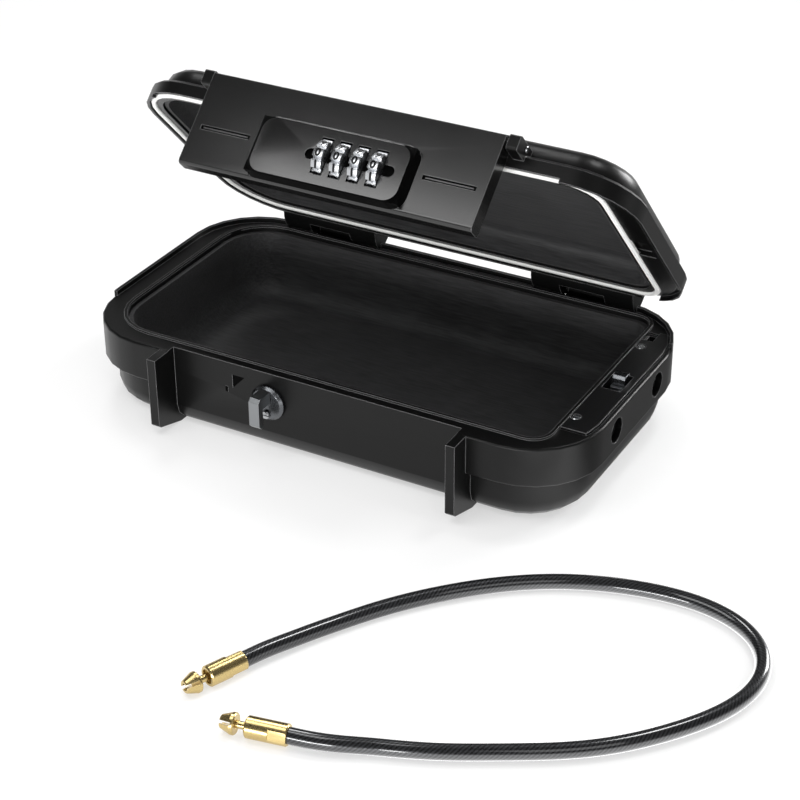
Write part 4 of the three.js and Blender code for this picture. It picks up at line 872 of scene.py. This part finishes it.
def add_floor():
    """White paper on which the shadow shows near the object, and a painted reflection to the right, a glowing and a
    dark patch that only shiny surfaces see.
    """
    bm = bmesh.new()
    bmesh.ops.create_grid(bm, x_segments=1, y_segments=1, size=FLOOR_HALF)
    mesh = bpy.data.meshes.new("floor")
    bm.to_mesh(mesh)
    bm.free()
    floor = add_object("floor", mesh)
    material, tree = new_material("white_paper")
    matt_white = {"Base Color": colour("fefefe"), "Roughness": 0.9, "Specular IOR Level": 0.0}
    paper = add_node(tree, "ShaderNodeBsdfPrincipled", matt_white)
    white = add_node(tree, "ShaderNodeEmission", {"Strength": 1.0})
    # Near the object plain white is mixed with paper, and further off it is plain white alone
    place = add_node(tree, "ShaderNodeTexCoord")
    reach = add_node(tree, "ShaderNodeVectorMath", links={0: (place, "Object")}, operation="LENGTH")
    share = add_node(
        tree, "ShaderNodeMapRange", limits(SHADOW_REACH, (WHITE_SHARE, 1)), {"Value": (reach, "Value")},
        interpolation_type="SMOOTHSTEP",
    )
    links = {0: (share, "Result"), 1: (seen_directly(tree), "Value")}
    share = add_node(tree, "ShaderNodeMath", links=links, operation="MULTIPLY")
    ground = add_node(
        tree, "ShaderNodeMixShader", links={0: (share, "Value"), 1: (paper, "BSDF"), 2: (white, "Emission")},
    )
    # Painted reflection: the patch glows in front of the object, for the front corner, and is dark beside the right
    # end
    spot = add_node(tree, "ShaderNodeSeparateXYZ", links={"Vector": (place, "Object")})
    cover = add_node(
        tree, "ShaderNodeMapRange", limits(CARD_REACH, (0, CARD_SHARE)), {"Value": (spot, "X")},
        interpolation_type="SMOOTHSTEP",
    )
    path = add_node(tree, "ShaderNodeLightPath")
    cover = add_node(
        tree, "ShaderNodeMath", links={0: (cover, "Result"), 1: (path, "Is Glossy Ray")}, operation="MULTIPLY",
    )
    level = add_node(
        tree, "ShaderNodeMapRange", limits(CARD_TURN, CARD_LEVELS), {"Value": (spot, "Y")},
        interpolation_type="SMOOTHSTEP",
    )
    painted_reflection = add_node(tree, "ShaderNodeEmission", links={"Strength": (level, "Result")})
    surface = add_node(
        tree, "ShaderNodeMixShader", links={0: (cover, "Value"), 1: (ground, "Shader"), 2: (painted_reflection, "Emission")},
    )
    add_node(tree, "ShaderNodeOutputMaterial", links={"Surface": (surface, "Shader")})
    mesh.materials.append(material)


def light_world():
    """White for the camera, and a lower even light on matt surfaces. Shiny ones see white up to a little above the
    horizon and then a dim ceiling, which gives them their contrast."""
    world = bpy.data.worlds.new("studio")
    bpy.context.scene.world = world
    world.use_nodes = True
    tree = world.node_tree
    tree.nodes.clear()
    seen = seen_directly(tree)
    place = add_node(tree, "ShaderNodeTexCoord")
    split = add_node(tree, "ShaderNodeSeparateXYZ", links={"Vector": (place, "Generated")})
    dome = add_node(
        tree, "ShaderNodeMapRange", limits(DOME_HEIGHTS, DOME_LEVELS), {"Value": (split, "Z")},
        interpolation_type="SMOOTHSTEP",
    )
    path = add_node(tree, "ShaderNodeLightPath")
    dome = add_node(
        tree, "ShaderNodeMath", links={0: (dome, "Result"), 1: (path, "Is Camera Ray")}, operation="MAXIMUM",
    )
    level = add_node(
        tree, "ShaderNodeMapRange", {"To Min": DIFFUSE_LEVEL}, {"Value": (seen, "Value"), "To Max": (dome, "Value")},
    )
    sky = add_node(tree, "ShaderNodeBackground", {"Color": (1, 1, 1, 1)}, {"Strength": (level, "Result")})
    add_node(tree, "ShaderNodeOutputWorld", links={"Surface": (sky, "Background")})


def add_lamp(name, place, target, size, power, spread):
    """A softbox that the camera doesn't see."""
    data = bpy.data.lights.new(name, "AREA")
    data.shape = "RECTANGLE"
    data.size, data.size_y = size
    data.spread = radians(spread)
    data.energy = power
    lamp = add_object(name, data)
    aim = (Vector(target) - Vector(place)).to_track_quat("-Z", "Y").to_matrix().to_4x4()
    lamp.matrix_world = Matrix.Translation(place) @ aim
    lamp.visible_camera = False


bpy.context.scene.view_settings.view_transform = "Standard"
add_floor()
light_world()
for lamp in LAMPS:
    add_lamp(*lamp)
